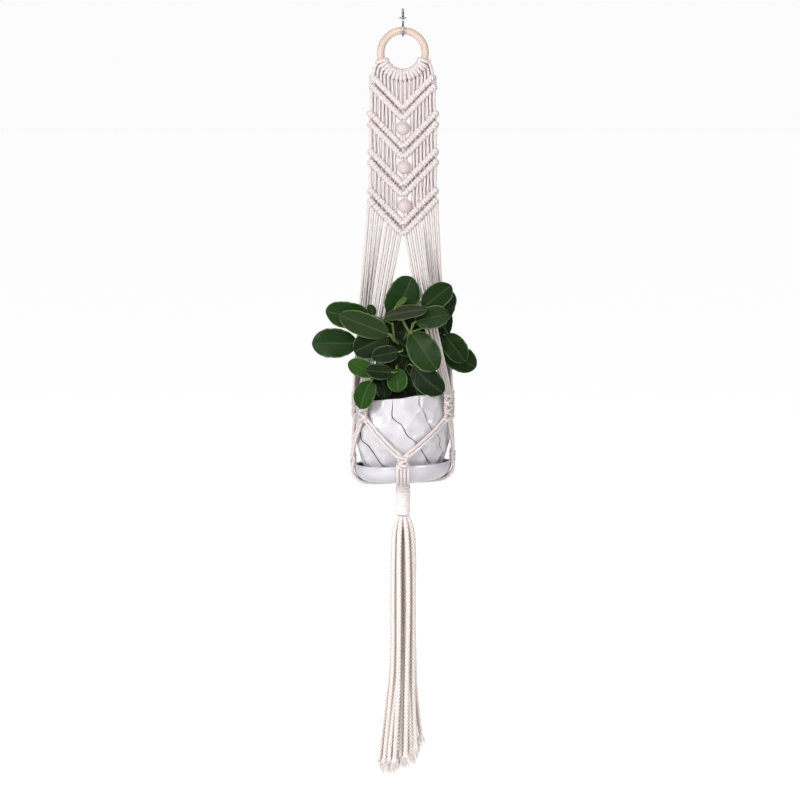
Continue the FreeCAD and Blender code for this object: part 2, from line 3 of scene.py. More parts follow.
import bpy
import numpy as np
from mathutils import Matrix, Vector


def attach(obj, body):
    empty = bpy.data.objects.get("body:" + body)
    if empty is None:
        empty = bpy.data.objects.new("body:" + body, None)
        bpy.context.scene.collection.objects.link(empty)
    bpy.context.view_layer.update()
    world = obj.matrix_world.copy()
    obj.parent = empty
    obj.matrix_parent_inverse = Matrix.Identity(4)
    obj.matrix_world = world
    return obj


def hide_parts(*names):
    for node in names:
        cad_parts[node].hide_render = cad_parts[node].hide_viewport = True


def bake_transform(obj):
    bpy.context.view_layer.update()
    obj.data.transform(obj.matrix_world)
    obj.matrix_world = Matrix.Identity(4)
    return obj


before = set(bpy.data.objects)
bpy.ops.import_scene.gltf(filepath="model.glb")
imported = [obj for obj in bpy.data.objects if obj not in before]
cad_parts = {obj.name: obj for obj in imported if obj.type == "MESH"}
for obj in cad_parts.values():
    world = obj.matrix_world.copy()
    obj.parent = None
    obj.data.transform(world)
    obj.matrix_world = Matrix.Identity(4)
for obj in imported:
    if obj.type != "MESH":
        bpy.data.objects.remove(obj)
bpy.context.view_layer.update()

MM = 0.001
rng = np.random.default_rng(20)
FRONT = np.array((0.0, -1.0, 0.0))

# ---------------------------------------------------------------- sizes
# These are the CAD's, but for CRADLE_RADIUS: it is 0.4 mm more, to clear the pot as it lifts.
RING_DROP, RING_RADIUS = 48.0, 30.0
CORD, TASSEL_CORD = 4.6, 7.0
KNOT_PITCH = 18.4
STRAND_PITCH = 6.1
SLOPE = math.tan(math.radians(46.0))
ROW_RISE = 5.0 / math.cos(math.radians(46.0))
CHEVRON_DROPS = (129.2, 181.6, 232.8, 285.6)
BEADS = ((0.0, 149.5), (1.8, 202.0), (2.4, 254.0))
BEAD_RADIUS, BEAD_BORE = 9.75, 5.0
UPPER_KNOTS = {"front_left": -50.0, "front_right": 60.0, "back_right": 112.0, "back_left": -112.0}
LOWER_KNOTS = {"front": 0.0, "right": 88.0, "back": 180.0, "left": -88.0}
KNOT_RADIUS, CRADLE_RADIUS = 69.3, 68.4
WRAP_RADIUS = 9.75


# ---------------------------------------------------------------- camera, light and floor
def link(obj):
    bpy.context.scene.collection.objects.link(obj)
    return obj


def aim(obj, place, target):
    obj.location = place
    obj.rotation_mode = "QUATERNION"
    obj.rotation_quaternion = (Vector(target) - Vector(place)).to_track_quat("-Z", "Y")


def make_camera():
    """Nearly level and far off, as a long lens sees it."""
    distance, width, elevation = 5.0, 1.088, math.radians(5.0)
    data = bpy.data.cameras.new("camera")
    data.sensor_width = 36.0
    data.lens = 36.0 * distance / width
    camera = link(bpy.data.objects.new("camera", data))
    target = Vector((-0.004, 0.0, -0.518))
    back = Vector((0.0, -math.cos(elevation), math.sin(elevation)))
    aim(camera, target + back * distance, target)
    data.clip_start, data.clip_end = 0.1, 100.0
    bpy.context.scene.camera = camera


def area_light(name, azimuth, elevation, wide, high, power, colour, distance=2.4):
    data = bpy.data.lights.new(name, "AREA")
    data.shape = "RECTANGLE"
    data.size, data.size_y = wide, high
    data.energy = power
    data.color = colour
    lamp = link(bpy.data.objects.new(name, data))
    a, e = math.radians(azimuth), math.radians(elevation)
    target = Vector((0.0, 0.0, -0.5))
    out = Vector((math.sin(a) * math.cos(e), -math.cos(a) * math.cos(e), math.sin(e)))
    aim(lamp, target + out * distance, target)


def camera_only(tree, socket, unseen, seen):
    """A socket's value is seen where the camera looks straight at it, and unseen for other rays."""
    path = tree.nodes.new("ShaderNodeLightPath")
    span = tree.nodes.new("ShaderNodeMapRange")
    span.inputs["To Min"].default_value = unseen
    span.inputs["To Max"].default_value = seen
    tree.links.new(path.outputs["Is Camera Ray"], span.inputs["Value"])
    tree.links.new(span.outputs["Result"], socket)


def make_studio():
    """Window-like lights to both sides, a fill, a light behind, a pale world and a floor."""
    area_light("window_left", -50, 13, 0.55, 0.85, 36, (1.0, 0.99, 0.985))
    area_light("window_right", 45, 17, 0.5, 0.6, 17, (1.0, 0.99, 0.98))
    area_light("front_fill", -6, 34, 1.5, 1.5, 26, (0.99, 0.99, 1.0))
    area_light("behind", 165, 42, 1.4, 1.4, 26, (0.97, 0.98, 1.0))
    world = bpy.data.worlds.new("studio")
    bpy.context.scene.world = world
    world.use_nodes = True
    background = world.node_tree.nodes["Background"]
    background.inputs["Color"].default_value = (1.0, 1.0, 1.0, 1.0)
    camera_only(world.node_tree, background.inputs["Strength"], 0.27, 0.97)
    bpy.context.scene.view_settings.view_transform = "Standard"

    corner, low = 60.0, -1.062
    data = bpy.data.meshes.new("floor")
    data.from_pydata([(-corner, -corner, low), (corner, -corner, low),
                      (corner, corner, low), (-corner, corner, low)], [], [(0, 1, 2, 3)])
    pale = Finish("floor_pale", Base_Color=(0.93, 0.93, 0.93, 1.0), Roughness=0.9,
                  Specular_IOR_Level=0.1, Emission_Color=(1.0, 1.0, 1.0, 1.0))
    camera_only(pale.tree, pale.shader.inputs["Emission Strength"], 0.0, 0.73)
    data.materials.append(pale.material)
    link(bpy.data.objects.new("floor", data))


# ---------------------------------------------------------------- materials
class Finish:
    """A Principled material and short calls to wire its nodes."""

    def __init__(self, name, **sockets):
        self.material = bpy.data.materials.new(name)
        self.material.use_nodes = True
        self.tree = self.material.node_tree
        self.shader = self.tree.nodes["Principled BSDF"]
        for socket, value in sockets.items():
            self.shader.inputs[socket.replace("_", " ")].default_value = value

    def wire(self, value, socket):
        """Link a node's output to a socket, or set the socket's own value."""
        if isinstance(value, bpy.types.NodeSocket):
            self.tree.links.new(value, socket)
        else:
            socket.default_value = (*value, 1.0) if socket.type == "RGBA" else value

    def node(self, kind, inputs=(), **settings):
        made = self.tree.nodes.new("ShaderNode" + kind)
        for name, value in settings.items():
            setattr(made, name, value)
        for name, value in dict(inputs).items():
            self.wire(value, made.inputs[name])
        return made

    def place(self):
        return self.node("TexCoord").outputs["Object"]

    def stretched(self, *scale):
        return self.node("Mapping", {"Vector": self.place(), "Scale": scale}).outputs["Vector"]

    def noise(self, scale, detail=3.0, roughness=0.55, vector=None):
        made = self.node("TexNoise", {"Vector": vector or self.place(), "Scale": scale,
                                      "Detail": detail, "Roughness": roughness})
        return made.outputs["Fac"]

    def stored(self, name, output="Fac"):
        """A value that the mesh keeps at each of its points."""
        return self.node("Attribute", attribute_name=name).outputs[output]

    def ramp(self, value, *stops):
        made = self.node("ValToRGB", {"Fac": value})
        band = made.color_ramp
        while len(band.elements) < len(stops):
            band.elements.new(0.5)
        for element, (at, colour) in zip(band.elements, stops):
            element.position = at
            element.color = (*colour, 1.0)
        return made.outputs["Color"]

    def math(self, operation, first, second=0.0):
        return self.node("Math", {0: first, 1: second}, operation=operation).outputs[0]

    def mix(self, first, second, factor, share=None, blend="MIX"):
        """From first to second by factor, or by factor times share."""
        if share is not None:
            factor = self.math("MULTIPLY", factor, share)
        made = self.node("Mix", data_type="RGBA", blend_type=blend)
        for value, socket in zip((factor, first, second), (0, 6, 7)):
            self.wire(value, made.inputs[socket])
        return made.outputs[2]

    def rough(self, value, low, high):
        """Roughness from low to high as value goes from 0 to 1."""
        span = self.node("MapRange", {"Value": value, "To Min": low, "To Max": high})
        self.wire(span.outputs["Result"], self.shader.inputs["Roughness"])

    def bump(self, height, strength, distance):
        made = self.node("Bump", {"Height": height, "Strength": strength, "Distance": distance})
        self.wire(made.outputs["Normal"], self.shader.inputs["Normal"])

    def coloured(self, colour):
        self.wire(colour, self.shader.inputs["Base Color"])
        return self.material


def cotton_finish(name, crevice_shade, ply, shade):
    """Matt cotton: painted shade between the plies and where cords lie together, from each mesh's relief,
    with fine fibres and faint blotches.
    """
    made = Finish(name, Roughness=0.92, Sheen_Weight=0.25, Sheen_Roughness=0.5,
                  Specular_IOR_Level=0.18)
    # painted shade: near black at relief 0, the shade colour at 0.3, the cotton's own colour on the plies
    colour = made.ramp(made.stored("relief"), (0.0, crevice_shade), (0.30, shade), (0.72, ply))
    colour = made.mix(colour, (0.84, 0.76, 0.72), made.noise(55.0, 2.0), 0.16, "MULTIPLY")
    fibres = made.noise(2600.0, 4.0, 0.7, made.stretched(1.0, 1.0, 0.35))
    colour = made.mix(colour, (0.74, 0.69, 0.68), fibres, 0.16, "MULTIPLY")
    made.bump(fibres, 0.5, 0.0003)
    return made.coloured(colour)


def wood_finish(name, pale, dark, vector_of):
    """Pale turned wood with fine grain along its length."""
    made = Finish(name, Specular_IOR_Level=0.35, Coat_Weight=0.08, Coat_Roughness=0.35)
    vector = vector_of(made)
    grain = made.noise(1.0, 5.0, 0.6, vector)
    broad = made.noise(0.22, 2.0, vector=vector)
    colour = made.ramp(grain, (0.34, dark), (0.52, pale), (0.78, tuple(1.06 * c for c in pale)))
    colour = made.mix(colour, tuple(0.84 * c for c in dark), broad, 0.30)
    made.rough(grain, 0.62, 0.46)
    made.bump(grain, 0.35, 0.00025)
    return made.coloured(colour)


def ring_grain(made):
    """Coordinates that run round the ring, so its grain follows the bar."""
    across = 1400.0
    split = made.node("SeparateXYZ", {"Vector": made.place()}).outputs
    rise = made.math("ADD", split["Z"], RING_DROP * MM)
    turn = made.math("ARCTAN2", split["X"], rise)
    squared = made.math("ADD", made.math("POWER", split["X"], 2.0), made.math("POWER", rise, 2.0))
    joined = made.node("CombineXYZ", {
        "X": made.math("MULTIPLY", turn, 1.1),
        "Y": made.math("MULTIPLY", made.math("SQRT", squared), across),
        "Z": made.math("MULTIPLY", split["Y"], across)})
    return joined.outputs["Vector"]


def bead_grain(made):
    return made.stretched(900.0, 900.0, 70.0)


def glaze_finish(name, body, pool, painted_shadow_inside=False):
    """Glossy white glaze, a little thicker and greyer where it pools."""
    made = Finish(name, Coat_Weight=0.6, Coat_Roughness=0.03, Specular_IOR_Level=0.6)
    cloud = made.noise(38.0, 3.0)
    dots = made.node("MapRange", {"Value": made.noise(420.0, 2.0), "From Min": 0.74,
                                  "From Max": 0.80, "To Min": 0.0, "To Max": 0.35})
    colour = made.mix(made.ramp(cloud, (0.3, pool), (0.62, body)), (0.30, 0.27, 0.26),
                      dots.outputs["Result"])
    if painted_shadow_inside:
        # painted shadow: near black where relief is low, on the saucer's inner wall below the rim
        shadow_mask = made.math("SUBTRACT", 1.0, made.stored("relief"))
        colour = made.mix(colour, (0.016, 0.011, 0.010), shadow_mask)
    made.rough(cloud, 0.07, 0.16)
    made.bump(made.noise(240.0, 2.0), 0.12, 0.0006)
    return made.coloured(colour)


def crack_finish():
    made = Finish("glaze_crack", Roughness=0.6)
    shade = made.noise(900.0, 2.0)
    return made.coloured(made.ramp(shade, (0.3, (0.006, 0.005, 0.008)), (0.7, (0.03, 0.025, 0.03))))


def soil_finish():
    made = Finish("potting_mix", Roughness=0.97, Specular_IOR_Level=0.15)
    grain = made.noise(420.0, 6.0, 0.75)
    made.bump(grain, 0.9, 0.0012)
    return made.coloured(made.ramp(grain, (0.30, (0.004, 0.0028, 0.0022)),
                                   (0.55, (0.014, 0.009, 0.007)), (0.75, (0.045, 0.03, 0.022))))


def leaf_finish(name, gloss, under):
    """A leathery blade: pale midrib, side veins and rim, over the leaf's own green."""
    made = Finish(name, Specular_IOR_Level=0.11)
    vein = made.stored("vein")
    cells = made.noise(900.0, 3.0, 0.7)
    colour = made.stored("tint", "Color")
    colour = made.mix(colour, (0.35, 0.42, 0.30), made.noise(70.0, 2.0), 0.55, "MULTIPLY")
    colour = made.mix(colour, (1.25, 1.3, 1.2), cells, 0.35, "MULTIPLY")
    colour = made.mix(colour, (0.09, 0.15, 0.06), vein, 0.09)
    colour = made.mix(colour, (0.11, 0.19, 0.06), made.stored("rib"), 0.24)
    colour = made.mix(colour, (0.17, 0.25, 0.10), made.stored("rim"), 0.85)
    if under:
        colour = made.mix(colour, (0.09, 0.14, 0.07), 0.30)
    made.rough(cells, gloss - 0.08, gloss + 0.12)
    made.bump(made.math("ADD", cells, made.math("MULTIPLY", vein, -1.6)), 0.35, 0.0003)
    return made.coloured(colour)


def stem_finish():
    """Brown bark on the old wood, green on the young."""
    made = Finish("stem_bark", Roughness=0.6)
    bark = made.noise(1200.0, 4.0, 0.7, made.stretched(1.0, 1.0, 0.3))
    colour = made.ramp(made.stored("relief"), (0.0, (0.055, 0.040, 0.022)),
                       (0.5, (0.10, 0.13, 0.035)), (1.0, (0.20, 0.27, 0.06)))
    made.bump(bark, 0.6, 0.0004)
    return made.coloured(made.mix(colour, (0.35, 0.28, 0.18), bark, 0.75, "MULTIPLY"))


def metal_finish():
    made = Finish("hook_chrome", Metallic=1.0, Specular_IOR_Level=0.5)
    wear = made.noise(1500.0, 4.0, 0.65, made.stretched(1.0, 1.0, 0.2))
    made.rough(wear, 0.26, 0.44)
    made.bump(wear, 0.1, 0.0002)
    return made.coloured(made.ramp(wear, (0.3, (0.20, 0.21, 0.24)), (0.7, (0.42, 0.43, 0.47))))


# ---------------------------------------------------------------- mesh code
class Shape:
    """Collects grids and fans of points, with a relief value at each, into one mesh."""

    def __init__(self):
        self.points, self.relief, self.faces, self.material, self.count = [], [], [], [], 0
        self.extra = {}

    def grid(self, points, relief=None, close_rows=False, close_columns=False, material=0,
             flip=False, extra=None):
        """points is rows x columns x 3, in metres."""
        rows, columns = points.shape[:2]
        index = np.arange(rows * columns).reshape(rows, columns) + self.count
        if close_rows:
            index = np.vstack([index, index[:1]])
        if close_columns:
            index = np.hstack([index, index[:, :1]])
        quads = np.stack([index[:-1, :-1], index[:-1, 1:], index[1:, 1:], index[1:, :-1]], -1)
        quads = quads.reshape(-1, 4)
        self.faces.append(quads[:, ::-1] if flip else quads)
        self.material.append(np.full(len(quads), material))
        self.points.append(points.reshape(-1, 3))
        values = np.ones(rows * columns) if relief is None else np.asarray(relief).reshape(-1)
        self.relief.append(values)
        for key, value in (extra or {}).items():
            self.extra.setdefault(key, []).append(np.asarray(value).reshape(rows * columns, -1))
        self.count += rows * columns

    def build(self, name, materials, smooth):
        points = np.concatenate(self.points)
        faces = np.concatenate(self.faces)
        data = bpy.data.meshes.new(name)
        data.vertices.add(len(points))
        data.vertices.foreach_set("co", points.astype(np.float32).ravel())
        data.loops.add(faces.size)
        data.loops.foreach_set("vertex_index", faces.astype(np.int32).ravel())
        data.polygons.add(len(faces))
        data.polygons.foreach_set("loop_start", np.arange(0, faces.size, 4, dtype=np.int32))
        data.polygons.foreach_set("use_smooth", np.full(len(faces), smooth))
        for material in materials:
            data.materials.append(material)
        data.polygons.foreach_set("material_index",
                                  np.concatenate(self.material).astype(np.int32))
        data.update(calc_edges=True)
        data.validate()
        for key, parts in {"relief": self.relief, **self.extra}.items():
            values = np.concatenate(parts)
            coloured = values.ndim == 2 and values.shape[1] == 4
            attribute = data.attributes.new(key, "FLOAT_COLOR" if coloured else "FLOAT", "POINT")
            attribute.data.foreach_set("color" if coloured else "value",
                                       values.astype(np.float32).ravel())
        return link(bpy.data.objects.new(name, data))

    def piece(self, name, materials, slot, body=None, replaces=(), blend=None, smooth=True,
              location=(0.0, 0.0, 0.0)):
        """Build the mesh as a piece that rides on a body, or, with blend, one left unparented with its
        placement baked in.
        """
        obj = self.build(name, materials, smooth)
        obj.location = location
        if blend:
            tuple(blend[2])
            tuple(blend[3])
            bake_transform(obj)
        else:
            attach(obj, body)
        if replaces:
            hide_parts(*replaces)
        return obj


def spline_line(route, resolution=16):
    """The smooth line of a NURBS spline whose control points are the route's, in metres."""
    curve = bpy.data.curves.new("route", "CURVE")
    curve.dimensions = "3D"
    curve.resolution_u = resolution
    spline = curve.splines.new("NURBS")
    spline.points.add(len(route) - 1)
    for point, place in zip(spline.points, route):
        point.co = (place[0] * MM, place[1] * MM, place[2] * MM, 1.0)
    spline.order_u = min(3, len(route))
    spline.use_endpoint_u = True
    bare = bpy.data.objects.new("route", curve)
    mesh = bpy.data.meshes.new_from_object(bare)
    line = np.array([v.co for v in mesh.vertices], float).reshape(-1, 3)
    bpy.data.meshes.remove(mesh)
    bpy.data.curves.remove(curve)
    return line


def evenly(line, step):
    """The line again with points about step apart, and each point's distance along it."""
    gaps = np.linalg.norm(np.diff(line, axis=0), axis=1)
    keep = np.concatenate([[True], gaps > 1e-9])
    line = line[keep]
    along = np.concatenate([[0.0], np.cumsum(np.linalg.norm(np.diff(line, axis=0), axis=1))])
    at = np.linspace(0.0, along[-1], max(3, int(math.ceil(along[-1] / step)) + 1))
    return np.stack([np.interp(at, along, line[:, k]) for k in range(3)], 1), at


def unit(vectors):
    return vectors / np.maximum(np.linalg.norm(vectors, axis=-1, keepdims=True), 1e-12)


def frames(line):
    """Two directions across a line at each point, carried along without twist."""
    ahead = unit(np.gradient(line, axis=0))
    side = np.zeros_like(line)
    start = np.cross(ahead[0], (0.0, 1.0, 0.0))
    if np.linalg.norm(start) < 0.3:
        start = np.cross(ahead[0], (1.0, 0.0, 0.0))
    side[0] = start / np.linalg.norm(start)
    for i in range(1, len(line)):
        turned = side[i - 1] - ahead[i] * np.dot(side[i - 1], ahead[i])
        side[i] = turned / np.linalg.norm(turned)
    return side, np.cross(ahead, side), ahead


def braid(turn, along, plies, pitch):
    """Height, 0 to 1, of a round braid's surface: two families of plies that cross."""
    a, b = plies * turn + along / pitch, plies * turn - along / pitch
    ia, ib = np.floor(a), np.floor(b)
    ua, ub = np.cos(np.pi * (a - ia - 0.5)), np.cos(np.pi * (b - ib - 0.5))
    over = (ia + ib) % 2 == 0
    wide, narrow = np.where(over, ub, ua), np.where(over, ua, ub)
    return np.power(np.clip(narrow, 0, 1), 0.8) * (0.35 + 0.65 * wide)


def painted_side_shade(across, line, front, gloom, open_side):
    """Painted shade: 1 where a cord's surface faces outward, less where it lies against its neighbours.
    """
    # for the tassel, the painted shade falls on the sides that face its axis
    if isinstance(front, str):
        outward = unit(line * (1, 1, 0))[:, None, :]
        facing = np.clip(0.5 + 0.75 * (across * outward).sum(-1), 0, 1)
    else:
        facing = np.abs((across * np.asarray(front)).sum(-1))
    hidden = np.clip((0.95 - facing) / 0.46, 0, 1) ** 1.1
    if open_side is not None:
        bare = np.clip((across * np.asarray(open_side)).sum(-1) * 2.5, 0, 1)
        hidden = hidden * (1 - 0.85 * bare)
    return 1 - gloom * hidden


def sections(line, sides):
    """The directions out to a tube's sides at each point of its line, and the way ahead."""
    side, up, ahead = frames(line)
    angle = 2 * np.pi * (np.arange(sides) / sides)
    across = side[:, None, :] * np.cos(angle)[None, :, None]
    return across + up[:, None, :] * np.sin(angle)[None, :, None], ahead


def add_cord(shape, line, radius, plies=6, pitch=2.4, depth=0.34, sides=22, step=0.75,
             taper_start=1.0, taper_end=1.0, phase=0.0, front=None, gloom=0.0, open_side=None,
             pale=0.0):
    """A braided cord along a line in metres; radius, pitch, depth and step are in mm.

    front and gloom paint shade on the sides that lie against other cords, apart from open_side;
    pale lifts the colour of the whole cord, and so lightens its painted shade.
    """
    line, along = evenly(line, step * MM)
    across, ahead = sections(line, sides)
    turn = np.arange(sides) / sides
    relief = braid(turn[None, :] + phase, along[:, None] / MM, plies, pitch)
    share = np.clip(along / (12 * MM), 0, 1)
    size = taper_start + (1 - taper_start) * share
    share = np.clip((along[-1] - along) / (8 * MM), 0, 1)
    size = size * (taper_end + (1 - taper_end) * share)
    out = (radius - depth + depth * relief) * MM * size[:, None]
    points = line[:, None, :] + across * out[..., None]
    # painted shade: the braid's valleys, and the sides that lie against other cords, take darker colours
    shown = pale + (1 - pale) * relief
    if front is not None:
        shown = shown * painted_side_shade(across, line, front, gloom, open_side)
    ends = []
    for at, way in ((0, -1), (-1, 1)):
        cap = [line[at] + across[at] * (out[at] * f)[:, None] + ahead[at] * (way * radius * g * MM)
               for f, g in ((0.72, 0.18), (0.35, 0.30), (0.02, 0.34))]
        ends.append(np.stack(cap[::-1] if at == 0 else cap))
    points = np.concatenate([ends[0], points, ends[1]])
    edge = np.full((3, sides), 0.6)
    shape.grid(points, np.concatenate([edge, shown, edge]), close_columns=True)


def lay_cord(shape, route, radius, **looks):
    """A cord along the smooth line of a route in mm, its braid starting anywhere."""
    add_cord(shape, spline_line(route), radius, phase=rng.uniform(), **looks)


def add_rod(shape, line, radii, sides=8, value=1.0, step=None):
    """A plain tapering tube; radii in mm are spread along the line."""
    if step:
        line, along = evenly(line, step * MM)
    else:
        along = np.concatenate([[0], np.cumsum(np.linalg.norm(np.diff(line, axis=0), axis=1))])
    across, ahead = sections(line, sides)
    size = np.interp(along / along[-1], np.linspace(0, 1, len(radii)), radii) * MM
    points = line[:, None, :] + across * size[:, None, None]
    start = line[0] + across[0] * (size[0] * 0.02) - ahead[0] * size[0] * 0.4
    end = line[-1] + across[-1] * (size[-1] * 0.02) + ahead[-1] * size[-1] * 0.4
    points = np.concatenate([start[None], points, end[None]])
    values = np.asarray(value) * np.ones(len(line))
    values = np.concatenate([values[:1], values, values[-1:]])
    shape.grid(points, np.repeat(values[:, None], sides, 1), close_columns=True)


def add_wrap(shape, centre, axis, first, second, radius, thick, wide, tilt=0.0, phase=0.0,
             steps=44, sides=16, depth=0.22, gloom=0.0, shaded=None):
    """One turn of flattened cord round an axis; sizes in mm, directions are unit vectors.

    gloom paints shade on the parts that lie towards shaded, against the neighbouring turns.
    """
    around_axis = 2 * np.pi * np.arange(steps) / steps
    section = 2 * np.pi * np.arange(sides) / sides
    length, plies, pitch = 2 * np.pi * radius, 5, 2.4
    relief = braid(section[None, :] / (2 * np.pi) + phase,
                   (around_axis / (2 * np.pi) * length)[:, None],
                   plies, length / max(2, round(length / pitch)))
    inner = depth * (relief - 1.0)
    reach = radius + (thick + inner) * np.cos(section)[None, :]
    slope = (wide + inner) * np.sin(section)[None, :] + tilt * np.cos(around_axis - phase)[:, None]
    c, s = np.cos(around_axis), np.sin(around_axis)
    outward = c[:, None] * np.asarray(first) + s[:, None] * np.asarray(second)
    points = np.asarray(centre) + reach[..., None] * outward[:, None, :]
    points = points + slope[..., None] * np.asarray(axis)
    # painted shade between the turns
    if gloom:
        towards = np.abs(c * np.dot(first, shaded) + s * np.dot(second, shaded))
        relief = relief * (1 - gloom * towards ** 5)[:, None]
    # painted shade on the edges of each turn, where it meets the next
    relief = relief * (0.72 + 0.28 * np.abs(np.cos(section)) ** 0.5)[None, :]
    shape.grid(points * MM, relief, close_rows=True, close_columns=True)


# ---------------------------------------------------------------- shared positions
def around(azimuth, radius, z, sideways=0.0):
    """A point at an azimuth from the front, shifted along the tangent by sideways."""
    turn = np.radians(azimuth)
    outward = np.array((np.sin(turn), -np.cos(turn), 0.0))
    tangent = np.array((np.cos(turn), np.sin(turn), 0.0))
    return outward * radius + tangent * sideways + np.array((0.0, 0.0, z))


def on_ring(angle, radius):
    turn = math.radians(angle)
    return np.array((radius * math.cos(turn), 0.0, radius * math.sin(turn) - RING_DROP))


def knot_angle(index):
    return -90.0 + (index - 3.5) * KNOT_PITCH


def row_height(drop, x, side):
    return -drop + abs(x) * SLOPE + side * ROW_RISE


def strand_x(hand, order):
    return hand * (0.5 + order) * STRAND_PITCH


TILT = 0.04


def settle(points):
    """The saucer hangs a little higher on the right; what holds it follows."""
    points = np.array(points, float)
    level, full_below = -540.0, 46.0
    share = np.clip((level - points[..., 2]) / full_below, 0, 1)
    points[..., 2] += TILT * points[..., 0] * share * share * (3 - 2 * share)
    return points


# ---------------------------------------------------------------- tassel
# Each strand's route: (x, y, drop), from under the wrap to its cut end.
TASSEL_ROUTES = (
    ((6.5, 0, 677.5), (13.6, 0, 690), (15.8, 0.6, 730), (15.2, -0.5, 800),
     (16, 0.4, 880), (18.2, 0.2, 932), (25.5, -1, 984)),
    ((5.2, 3.8, 677.5), (11, 8, 690), (12.2, 9.3, 730), (13, 8.9, 800),
     (12.4, 9.5, 880), (14, 10.5, 934), (18.5, 12.5, 994)),
    ((2, 6.1, 677.5), (4.2, 12.9, 690), (5.1, 14.6, 730), (4.4, 15, 800),
     (5.2, 14.7, 880), (4.5, 16.5, 938), (6.5, 19.5, 1003)),
    ((-2, 6.1, 677.5), (-4.2, 12.9, 690), (-4.6, 14.9, 730), (-5.3, 14.5, 800),
     (-4.5, 15.1, 880), (-8, 16, 940), (-10.5, 20, 1010)),
    ((-5.2, 3.8, 677.5), (-11, 8, 690), (-12.8, 8.8, 730), (-12.2, 9.5, 800),
     (-12.9, 8.8, 880), (-19, 10, 942), (-25, 13, 1012)),
    ((-6.5, 0, 677.5), (-13.6, 0, 690), (-15.2, -0.5, 730), (-15.9, 0.4, 800),
     (-15.3, -0.4, 880), (-23, 0.5, 942), (-31, -0.5, 1013)),
    ((-5.2, -3.8, 677.5), (-11, -8, 690), (-12.2, -9.4, 730), (-12.9, -8.8, 800),
     (-12.4, -9.5, 880), (-18.5, -9.5, 942), (-25.5, -10, 1015)),
    ((-2, -6.1, 677.5), (-4.4, -12.9, 690), (-5.6, -14.4, 730), (-5.2, -14.9, 800),
     (-5.6, -14.5, 880), (-7, -15.5, 940), (-11.5, -17, 1014)),
    ((2, -6.1, 677.5), (4.6, -12.8, 690), (6.6, -14.1, 730), (7.4, -13.8, 800),
     (5.8, -14.6, 880), (4.6, -15.6, 938), (3.6, -18.6, 1006)),
    ((5.2, -3.8, 677.5), (11.2, -7.8, 690), (13.6, -7.6, 730), (14, -7.7, 800),
     (13.4, -8.6, 880), (14.2, -10, 934), (17.2, -12.6, 996)),
    ((3.4, 1.1, 677.5), (6.8, 2.2, 690), (7.4, 2.1, 730), (7.1, 2.6, 800),
     (7.4, 2.1, 880), (8, 3, 936), (10, 3.5, 999)),
    ((0, 3.6, 677.5), (0, 7.2, 690), (0.3, 7.7, 730), (-0.2, 7.5, 800),
     (0.3, 7.8, 880), (-1.5, 8.5, 940), (-1, 10.5, 1007)),
    ((-3.4, 1.1, 677.5), (-6.8, 2.2, 690), (-7.2, 2.6, 730), (-7.4, 2.1, 800),
     (-7.1, 2.7, 880), (-12, 2.6, 942), (-16, 3.5, 1013)),
    ((-2.1, -2.9, 677.5), (-4.2, -5.8, 690), (-4.7, -6, 730), (-4.3, -6.4, 800),
     (-4.7, -6, 880), (-12.4, -9.6, 942), (-18.4, -12, 1012)),
    ((2.1, -2.9, 677.5), (4.2, -5.8, 690), (4.3, -6.3, 730), (4.7, -6, 800),
     (4.3, -6.4, 880), (9, -9.8, 938), (10.6, -13, 1003)),
    ((0, 0, 677.5), (0, 0, 690), (0.2, 0.1, 730), (-0.2, 0.1, 800),
     (0.1, -0.2, 880), (-2.2, -8.6, 938), (-3.6, -12, 1006)),
)
TASSEL_LENGTHS = (0.308, 0.318, 0.326, 0.334, 0.336, 0.338, 0.340, 0.338, 0.330, 0.320, 0.322,
                  0.330, 0.336, 0.336, 0.326, 0.330)


def make_tuft(name, line, number):
    """The frayed end of one strand: loose yarns that spread a little as they hang."""
    shape = Shape()
    line, along = evenly(line, 0.002)
    side, up, ahead = frames(line)
    place, s, u = line[-5], side[-5], up[-5]
    lowest, outermost = -1.043, 1
    for _ in range(46):
        angle, out = rng.uniform(0, 2 * np.pi), math.sqrt(rng.uniform(0.02, 1.0))
        away = s * math.cos(angle) + u * math.sin(angle)
        length = min(rng.uniform(12, 29) * MM, place[2] - lowest)
        flare = rng.uniform(0.8, 7.5) * (1.9 if number == outermost else 1.0) * MM
        sway = (s * rng.normal() + u * rng.normal()) * 1.6 * MM
        t = np.linspace(0, 1, 7)[:, None]
        root = place + away * out * 2.6 * MM
        fall = unit(np.array((0, 0, -1.0)) + 0.55 * ahead[-1])
        yarn = root + fall * length * t
        yarn = yarn + away * flare * t ** 1.6 + sway * np.sin(t * 5.0 + angle) * t
        add_rod(shape, yarn, (0.48, 0.44, 0.38, 0.2), sides=5, value=rng.uniform(0.45, 1.0))
    return shape.piece(name, [tassel_cotton], "tassel_cotton", "tassel")


def make_tassel():
    """Sixteen free cords that hang from under the wrap, each with its frayed end."""
    crossing = ("neck", "tassel", (0, 0, -0.677), (0, 0, -0.695))
    for number, (route, length) in enumerate(zip(TASSEL_ROUTES, TASSEL_LENGTHS), start=1):
        line = spline_line([(x, y, -drop) for x, y, drop in route])
        shape = Shape()
        add_cord(shape, line, 0.5 * TASSEL_CORD, plies=4, pitch=5.1, depth=1.0, sides=30,
                 step=0.8, taper_start=0.72, taper_end=1.2, phase=rng.uniform(), front="axis",
                 gloom=0.42, pale=0.17)
        strand = shape.piece("strand_%02d" % number, [tassel_cotton], "tassel_cotton",
                             replaces=["tassel_strand_%02d" % number], blend=crossing)
        tuft = make_tuft("tuft_%02d" % number, line, number)


